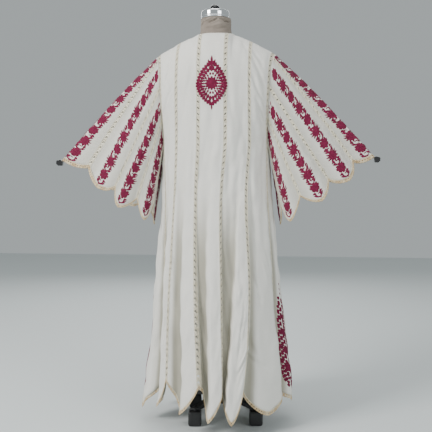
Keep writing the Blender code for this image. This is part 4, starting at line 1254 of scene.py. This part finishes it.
def side_group():
    """The side's tall motif, from its narrow top to its wide foot: lanes of leaves that hang
    side by side, every other row half a leaf lower, rosettes down the middle, and three small
    leaves above."""
    groups = []
    for row, place in enumerate(np.arange(0.0, 0.306, 0.0105)):
        reach = (0.012 + 0.076 * place) * min(1.0, (0.335 - place) / 0.080)
        lanes = max(1, round(2 * reach / 0.0078))
        for lane in range(lanes):
            x = (lane - (lanes - 1) / 2) * 0.0078
            low = place + (0.0045 if (lane + row) % 2 else 0.0)
            bend = 0.12 if x > 0 else -0.12
            groups.append(leaf_ribbon((x * 0.92, low), (x * 1.10, low + 0.0125), bend, 0.0096))
    for place, size in ((0.070, 0.009), (0.125, 0.013), (0.190, 0.016), (0.252, 0.016)):
        groups.append(petal_ribbons((0, place), 9, size * 0.25, size, size * 0.66, blunt=0.5))
        groups.append(disc_ribbon((0, place), size * 0.5))
    for place in (-0.016, -0.032, -0.050):
        groups.append(leaf_ribbon((0.002, place), (-0.003, place + 0.008), 0.1, 0.0050))
    return joined(*groups)


# both motifs lie on the minus side of their gore's middle: seen from behind on one side only
SIDE_MOTIF_TURN = 0.20
SIDE_MOTIF_TOP = 0.440


def side_motif(gore):
    """The tall motif on a side gore, its narrow end at its top height above the floor."""
    q = np.linspace(1.0, 2.0, 600)
    middle = gore + SIDE_MOTIF_TURN
    line = robe_point(np.full_like(q, middle), q)
    length = running_length(line)
    top = np.interp(-SIDE_MOTIF_TOP, -line[:, 2], length)

    def lay(x, y):
        row = np.interp(top + y, length, q)
        side = np.linalg.norm(robe_point(middle + 0.15, row) - robe_point(middle - 0.15, row), axis=-1)
        u = middle + np.clip(x * 0.3 / np.maximum(side, 0.03), -0.24, 0.24)
        outward = robe_normals(u, row)
        return robe_point(u, row) + outward * body_relief(u, row)[..., None], outward

    return sewn(side_group(), 0.0010, lay)


# The dress form, its neck and fittings


FORM_LOOPS = (
    (0.900, 0.155, 0.106), (0.800, 0.150, 0.104), (0.690, 0.160, 0.112), (0.590, 0.163, 0.116),
    (0.515, 0.158, 0.112), (0.5003, 0.150, 0.105),
)
# the cap's lowest and highest level, and the ball's middle and radius
CAP_LOW = 1.4303
CAP_TOP = 1.4590
KNOB_HEIGHT = 1.466
KNOB_RADIUS = 0.018
NECK_LOOPS = ((1.366, 0.0585, 0.0530), (1.390, 0.0550, 0.0505), (1.4302, 0.0537, 0.0500))
# wrinkles of the neck's jersey: start turn and height, end turn and height, width, depth
NECK_WRINKLES = (
    (-1.20, 1.412, -0.30, 1.423, 0.0030, 0.0030), (-0.32, 1.424, 0.48, 1.407, 0.0030, 0.0034),
    (-1.35, 1.419, -0.66, 1.411, 0.0024, 0.0026), (0.05, 1.427, 0.95, 1.414, 0.0034, -0.0024),
    (-0.60, 1.404, 0.70, 1.394, 0.0046, -0.0018), (0.55, 1.424, 1.35, 1.398, 0.0030, 0.0026),
    (1.60, 1.416, 2.40, 1.423, 0.0030, 0.0026), (2.30, 1.416, 3.10, 1.402, 0.0032, 0.0026),
    (3.40, 1.421, 4.10, 1.408, 0.0030, 0.0024), (4.20, 1.406, 4.90, 1.421, 0.0028, 0.0024),
    (-0.90, 1.392, 0.10, 1.384, 0.0050, 0.0016), (2.20, 1.390, 3.30, 1.384, 0.0050, 0.0014),
)


def form_point(u, q, inset):
    """The form above the underarm: the robe's surface moved inwards, and across each armhole a
    straight line from back to front with a small sine bulge."""
    u, q = np.broadcast_arrays(np.asarray(u, float), np.asarray(q, float))
    side = np.where(u <= 6.0, 1.0, -1.0)
    near = np.where(u <= 6.0, u, 12.0 - u)
    share = np.clip((near - ARMHOLE_U) / (6.0 - 2 * ARMHOLE_U), 0, 1)
    back = np.minimum(near, ARMHOLE_U)
    front = np.maximum(near, 6.0 - ARMHOLE_U)
    seen = np.where(share < 0.5, back, front) * side
    held = np.clip(q, 0.002, 0.999)

    def moved_in(place):
        return robe_point(place, held) - robe_normals(place, held) * inset[..., None]

    ends = [moved_in(back * side), moved_in(front * side)]
    bridge = ends[0] + (ends[1] - ends[0]) * share[..., None]
    bridge[..., 0] += side * 0.010 * np.sin(np.pi * share)
    single = moved_in(seen)
    between = (share > 0) & (share < 1)
    return np.where(between[..., None], bridge, single)


def oval_rings(half_width, depth, z, turn):
    """Ovals at heights z: half width times sine and depth times cosine of the turn."""
    tall = np.broadcast_to(z[:, None], (len(z), len(turn)))
    return np.stack([half_width[:, None] * np.sin(turn), depth[:, None] * np.cos(turn), tall], -1)


def neck_gore(turn):
    """The gore coordinate u of the neck's edge at a turn round the neck from the nape."""
    x = NECK_HALF_WIDTH * np.abs(np.sin(turn))
    across = np.interp(x, table_column(TOP_EDGE, 1), table_column(TOP_EDGE, 0))
    return np.where(np.cos(turn) > 0, np.sign(np.sin(turn)) * across, 6.0 - np.sign(np.sin(turn)) * across)


def dress_form_body():
    """The torso: rings just inside the robe down to the underarm, then ovals in a smooth run to
    the flat base, which is closed by rings shrinking to a point."""
    rows = np.concatenate([[0.002], np.linspace(0.03, 0.999, 28)])
    q, u = np.meshgrid(rows, np.linspace(0, 12, 108, endpoint=False), indexing="ij")
    spread = np.minimum(np.abs(np.mod(u + 3, 6) - 3), 2.6)
    slimmer = 0.030 * smooth_step(q) * (0.35 + 0.65 * smooth_step(spread / 2.4))
    inset = 0.0035 + slimmer + 0.004 * smooth_step(q / 0.2)
    upper = form_point(u, q, inset)
    chest = upper[-1]
    turn = np.arctan2(chest[:, 0] / 0.155, chest[:, 1] / 0.106)
    z = np.concatenate([np.linspace(0.900, 0.5103, 24), [0.5045, 0.5012, 0.5003]])
    loops = FORM_LOOPS[::-1]
    heights = table_column(loops, 0)
    squeeze = np.concatenate([np.ones(24), [0.985, 0.955, 0.92]])
    half_width = smooth_read(z, heights, table_column(loops, 1)) * squeeze
    depth = smooth_read(z, heights, table_column(loops, 2)) * squeeze
    lower = oval_rings(half_width, depth, z, turn)
    base = np.stack([lower[-1] * (share, share, 1.0) for share in (0.6, 0.25, 0.001)])
    return np.concatenate([upper, lower, base])


def neck_jersey():
    """The form's neck: ovals from under the cap down to the collar, wrinkled, then a cubic run
    from there down and outwards to just under the robe's neck edge and a little inside it."""
    turn = np.linspace(-np.pi, np.pi, 128, endpoint=False)
    z = np.linspace(1.4300, 1.376, 34)
    loops = NECK_LOOPS
    heights = table_column(loops, 0)
    half_width = smooth_read(z, heights, table_column(loops, 1))
    depth = smooth_read(z, heights, table_column(loops, 2))
    out = unit(np.stack([np.sin(turn) / 0.055, np.cos(turn) / 0.050, 0 * turn], -1))
    tube = oval_rings(half_width, depth, z, turn)
    grid_turn, grid_z = np.broadcast_arrays(turn[None], z[:, None])
    wrinkle = 1.6 * crease_height(grid_turn, grid_z, NECK_WRINKLES, 0.055, lap=2 * np.pi)
    wrinkle = wrinkle + 0.0004 * np.sin(3 * grid_turn + 160 * grid_z)
    calm = smooth_step((1.4305 - grid_z) / 0.004) * smooth_step((grid_z - 1.374) / 0.010)
    tube = tube + out * (0.0006 + wrinkle * calm)[..., None]
    u = neck_gore(turn)
    start, before = tube[-1], (tube[-1] - tube[-3]) * 8
    q = np.full_like(u, 0.035)
    normal = robe_normals(u, q)
    end = robe_point(u, q) - normal * 0.0028
    after = (robe_point(u, q + 0.02) - robe_point(u, q)) * 1.6
    share = np.linspace(0, 1, 22)[1:, None, None]
    run = (
        start * (2 * share**3 - 3 * share**2 + 1) + before * (share**3 - 2 * share**2 + share)
        + end * (3 * share**2 - 2 * share**3) + after * (share**3 - share**2)
    )
    more = [robe_point(u, q + k) - robe_normals(u, q + k) * (0.0028 + 0.02 * k) for k in (0.03, 0.08, 0.14)]
    return np.concatenate([tube, run, np.stack(more)])


def turned_piece(name, profile, finish, node, x=0.0, steps=96):
    """A profile of radius and height pairs carried round an upright axis."""
    profile = np.array(profile, float)
    turn = 2 * np.pi * np.arange(steps) / steps
    radius = np.maximum(profile[:, 0], 2e-5)[:, None]
    tall = np.broadcast_to(profile[:, 1][:, None], (len(profile), steps))
    points = np.stack([x + radius * np.cos(turn), radius * np.sin(turn), tall], -1)
    faces = grid_faces(len(profile), steps, False, True)
    return make_piece(name, points, faces, finish, stands_for=[node])


def rounded(corners, radius=0.001, steps=4):
    """A profile with each inner corner cut by a quadratic curve of the radius."""
    corners = np.array(corners, float)
    points = [corners[0]]
    for before, corner, after in zip(corners, corners[1:], corners[2:]):
        first = corner + unit(before - corner) * min(radius, np.linalg.norm(before - corner) / 2)
        last = corner + unit(after - corner) * min(radius, np.linalg.norm(after - corner) / 2)
        for share in np.linspace(0, 1, steps):
            points.append((1 - share) ** 2 * first + 2 * share * (1 - share) * corner + share**2 * last)
    return np.array(points + [corners[-1]])


def neck_fittings():
    """The chrome cap with its rolled rim and dish, and the black ball in it."""
    low, top = CAP_LOW, CAP_TOP
    dish = top - 0.009
    wall = [(0, low), (0.0475, low), (0.0498, low + 0.003), (0.0500, low + 0.006), (0.0490, low + 0.0075)]
    rim = [
        (0.0490, low + 0.0085), (0.0500, low + 0.010), (0.0500, top - 0.005), (0.0475, top),
        (0.0425, top - 0.0006), (0.0385, dish), (0, dish),
    ]
    cap = np.concatenate([rounded(wall, 0.0012), rounded(rim, 0.0022, 6)])
    turned_piece("chrome_cap", cap, CHROME, "neck_cap", x=0.003)
    foot = dish + GAP
    angle = np.linspace(math.asin((foot - KNOB_HEIGHT) / KNOB_RADIUS), np.pi / 2, 30)
    ball = np.stack([KNOB_RADIUS * np.cos(angle), KNOB_HEIGHT + KNOB_RADIUS * np.sin(angle)], -1)
    knob = np.concatenate([[(0, foot)], ball])
    turned_piece("black_knob", knob, KNOB_BLACK, "neck_knob", x=0.004, steps=64)


def neck_binding():
    """A rolled binding along the neck's edge: a tube whose radius swells a little at each stitch."""
    turn = np.linspace(-np.pi, np.pi, 220, endpoint=False)
    u = neck_gore(turn)
    q = np.full_like(u, NECK_START)
    edge, outward = robe_shell(u, q)
    lift = body_relief(u, q + 0.02)
    path = edge + outward * lift[:, None] * 0.5
    radius = 0.0024 + 0.0001 * np.sin(turn * 70)
    return cord(path, outward, running_length(path), 0.0, radius, 0.015, sides=10, closed=True)


def clip_ribs(side):
    """Ribs on a clip's grip: four small rounded bars across it, laid beyond the sleeve's tip."""
    surface = sleeve_surface(side)
    tip, inner = surface(np.array([0.0, 0.0]), np.array([1.0, 0.9]))
    ahead = unit(tip - inner)
    normal = normals_of(surface, np.array([0.0]), np.array([0.97]), flip=side > 0)[0]
    normal = unit(normal - ahead * (normal @ ahead))
    across = np.cross(ahead, normal)
    parts = []
    share = np.linspace(-1, 1, 12)
    for reach, rise in ((0.0040, 0.0056), (0.0075, 0.0080), (0.0110, 0.0103), (0.0170, 0.0102)):
        for up in (-1, 1):
            path = tip + ahead * reach + normal * (rise * up) + across * (share * 0.0122)[:, None]
            radius = 0.0011 * np.sqrt(np.clip(1 - share**8, 0.02, 1))
            parts.append(swept(path, radius, np.broadcast_to(normal, path.shape), sides=8))
    return parts


# Putting the piece together


def cloth_piece(name, parts, finish, stands_for=(), thickness=None, weld=False):
    """One object from several shapes with their UVs."""
    shape = gather(parts)
    if weld:
        shape = welded(shape)
    points, faces, uv = shape
    return make_piece(name, points, faces, finish, stands_for, uv, thickness)


def dress_robe():
    """Everything of cloth, with what is sewn on each sheet."""
    gores = cotton_gores()
    strips, cords = body_strips()
    openwork_piece = cloth_piece(
        "body_openwork", strips, CREAM_CORD, ["trim_body"], OPENWORK_WALL, True,
    )
    cord_piece = cloth_piece("body_strip_cords", cords, CREAM_CORD)
    cells, joining = hem_edging()
    edging = cloth_piece("hem_crochet", [cells], CROCHET, thickness=EDGING_WALL, weld=True)
    edging_cord = cloth_piece("hem_cord", [joining], CREAM_CORD)
    binding = cloth_piece("neck_rolled_binding", [neck_binding()], COTTON, ["neck_binding"])
    medallion = cloth_piece("back_medallion", [back_medallion()], THREAD)
    extras = {0: [openwork_piece, cord_piece, medallion], 6: [binding], 4: [edging, edging_cord]}
    for gore in SIDE_GORES:
        extras[gore] = [cloth_piece(f"side_embroidery_{gore}", [side_motif(gore)], THREAD)]
    for gore, (piece, base) in enumerate(gores):
        declare_sheet(piece, base, extras.get(gore, ()))
    for side, mark in ((1, "plus"), (-1, "minus")):
        sleeves = cotton_sleeves(side, mark)
        strips, cords = sleeve_strips(side)
        cells, joining = sleeve_edging(side)
        extra = [
            cloth_piece(
                f"sleeve_openwork_{mark}", strips, CREAM_CORD, [f"trim_sleeve_{mark}"],
                OPENWORK_WALL, True,
            ),
            cloth_piece(f"sleeve_strip_cords_{mark}", cords, CREAM_CORD),
            cloth_piece(
                f"sleeve_crochet_{mark}", [cells], CROCHET, thickness=EDGING_WALL, weld=True,
            ),
            cloth_piece(f"sleeve_edge_cord_{mark}", [joining], CREAM_CORD),
            cloth_piece(f"sleeve_bands_{mark}", sleeve_bands(side), THREAD),
        ]
        for gore, (piece, base) in enumerate(sleeves):
            declare_sheet(piece, base, extra if gore == 0 else ())


def dress_the_form():
    """Torso, neck, cap, ball, stand and clips."""
    torso, neck = dress_form_body(), neck_jersey()
    faces = grid_faces(*torso.shape[:2], False, True)
    body = make_piece("form_torso", torso, faces, JERSEY, stands_for=["dress_form"])
    make_piece("form_neck_jersey", neck, grid_faces(*neck.shape[:2], False, True), JERSEY)
    neck_fittings()
    for side, mark in ((1, "plus"), (-1, "minus")):
        ribs = gather(clip_ribs(side))
        make_piece(f"clip_ribs_{mark}", ribs[0], ribs[1], CLIP_BLACK)
    for name, node in frame_nodes().items():
        if name.startswith("stand_"):
            repaint(node, STAND_BLACK)
            soft = node.modifiers.new("worn edges", "BEVEL")
            soft.width, soft.segments, soft.limit_method = 0.0015, 2, "ANGLE"
        elif name.startswith("clip_"):
            repaint(node, CLIP_BLACK)


def repaint(node, finish):
    """A CAD node that shows as it is gets its material."""
    node.data.materials.clear()
    node.data.materials.append(finish)


def frame_nodes():
    """The CAD's nodes that the scene shows, by name."""
    return {o.name: o for o in bpy.data.objects if "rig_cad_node" in o}


def soft_light(name, place, aim, size, power, colour):
    """A square area light that faces its aim."""
    light = bpy.data.lights.new(name, "AREA")
    light.shape, light.size, light.energy, light.color = "SQUARE", size, power, colour
    lamp = bpy.data.objects.new(name, light)
    lamp.location = place
    lamp.rotation_euler = (Vector(aim) - Vector(place)).to_track_quat("-Z", "Y").to_euler()
    bpy.context.scene.collection.objects.link(lamp)


CAMERA_PLACE = (-0.317, 2.581, 0.83)
# name, place, aim, size, power, colour
LIGHTS = (
    ("key from the left", (3.0, 2.7, 2.9), (0, 0, 0.85), 1.4, 215.0, (1.0, 0.985, 0.965)),
    ("fill from the right", (-2.6, 2.8, 1.6), (0, 0, 0.75), 1.8, 58.0, (0.97, 0.985, 1.0)),
    ("front fill", (0.6, -3.2, 2.4), (0, 0, 0.85), 2.2, 50.0, (1.0, 1.0, 1.0)),
    ("overhead", (0.0, 0.4, 3.6), (0, 0, 0.9), 1.8, 30.0, (1.0, 1.0, 1.0)),
)


def studio():
    """Pale floor and soft backdrop light, and the camera where the photograph was taken."""
    world = bpy.data.worlds.new("pale studio")
    world.use_nodes = True
    backdrop = world.node_tree.nodes["Background"]
    backdrop.inputs["Color"].default_value = (0.80, 0.87, 0.88, 1.0)
    backdrop.inputs["Strength"].default_value = 0.50
    bpy.context.scene.world = world
    floor_finish = Finish("pale floor", (0.62, 0.66, 0.66), 0.75)
    reach = np.linspace(-6.0, 6.0, 5)
    x, y = np.meshgrid(reach, reach)
    points = np.stack([x, y, np.full_like(x, -0.0005)], -1)
    mesh = bpy.data.meshes.new("floor")
    mesh.from_pydata(points.reshape(-1, 3).tolist(), [], grid_faces(5, 5).tolist())
    mesh.materials.append(floor_finish.material)
    floor = bpy.data.objects.new("floor", mesh)
    bpy.context.scene.collection.objects.link(floor)
    for light in LIGHTS:
        soft_light(*light)
    camera = bpy.data.cameras.new("camera")
    camera.lens, camera.sensor_width, camera.shift_y = 60.2, 36.0, -0.069
    seat = bpy.data.objects.new("camera", camera)
    seat.location = CAMERA_PLACE
    towards = Vector((-CAMERA_PLACE[0], -CAMERA_PLACE[1], 0.0))
    seat.rotation_euler = towards.to_track_quat("-Z", "Y").to_euler()
    bpy.context.scene.collection.objects.link(seat)
    bpy.context.scene.camera = seat


dress_robe()
dress_the_form()
studio()
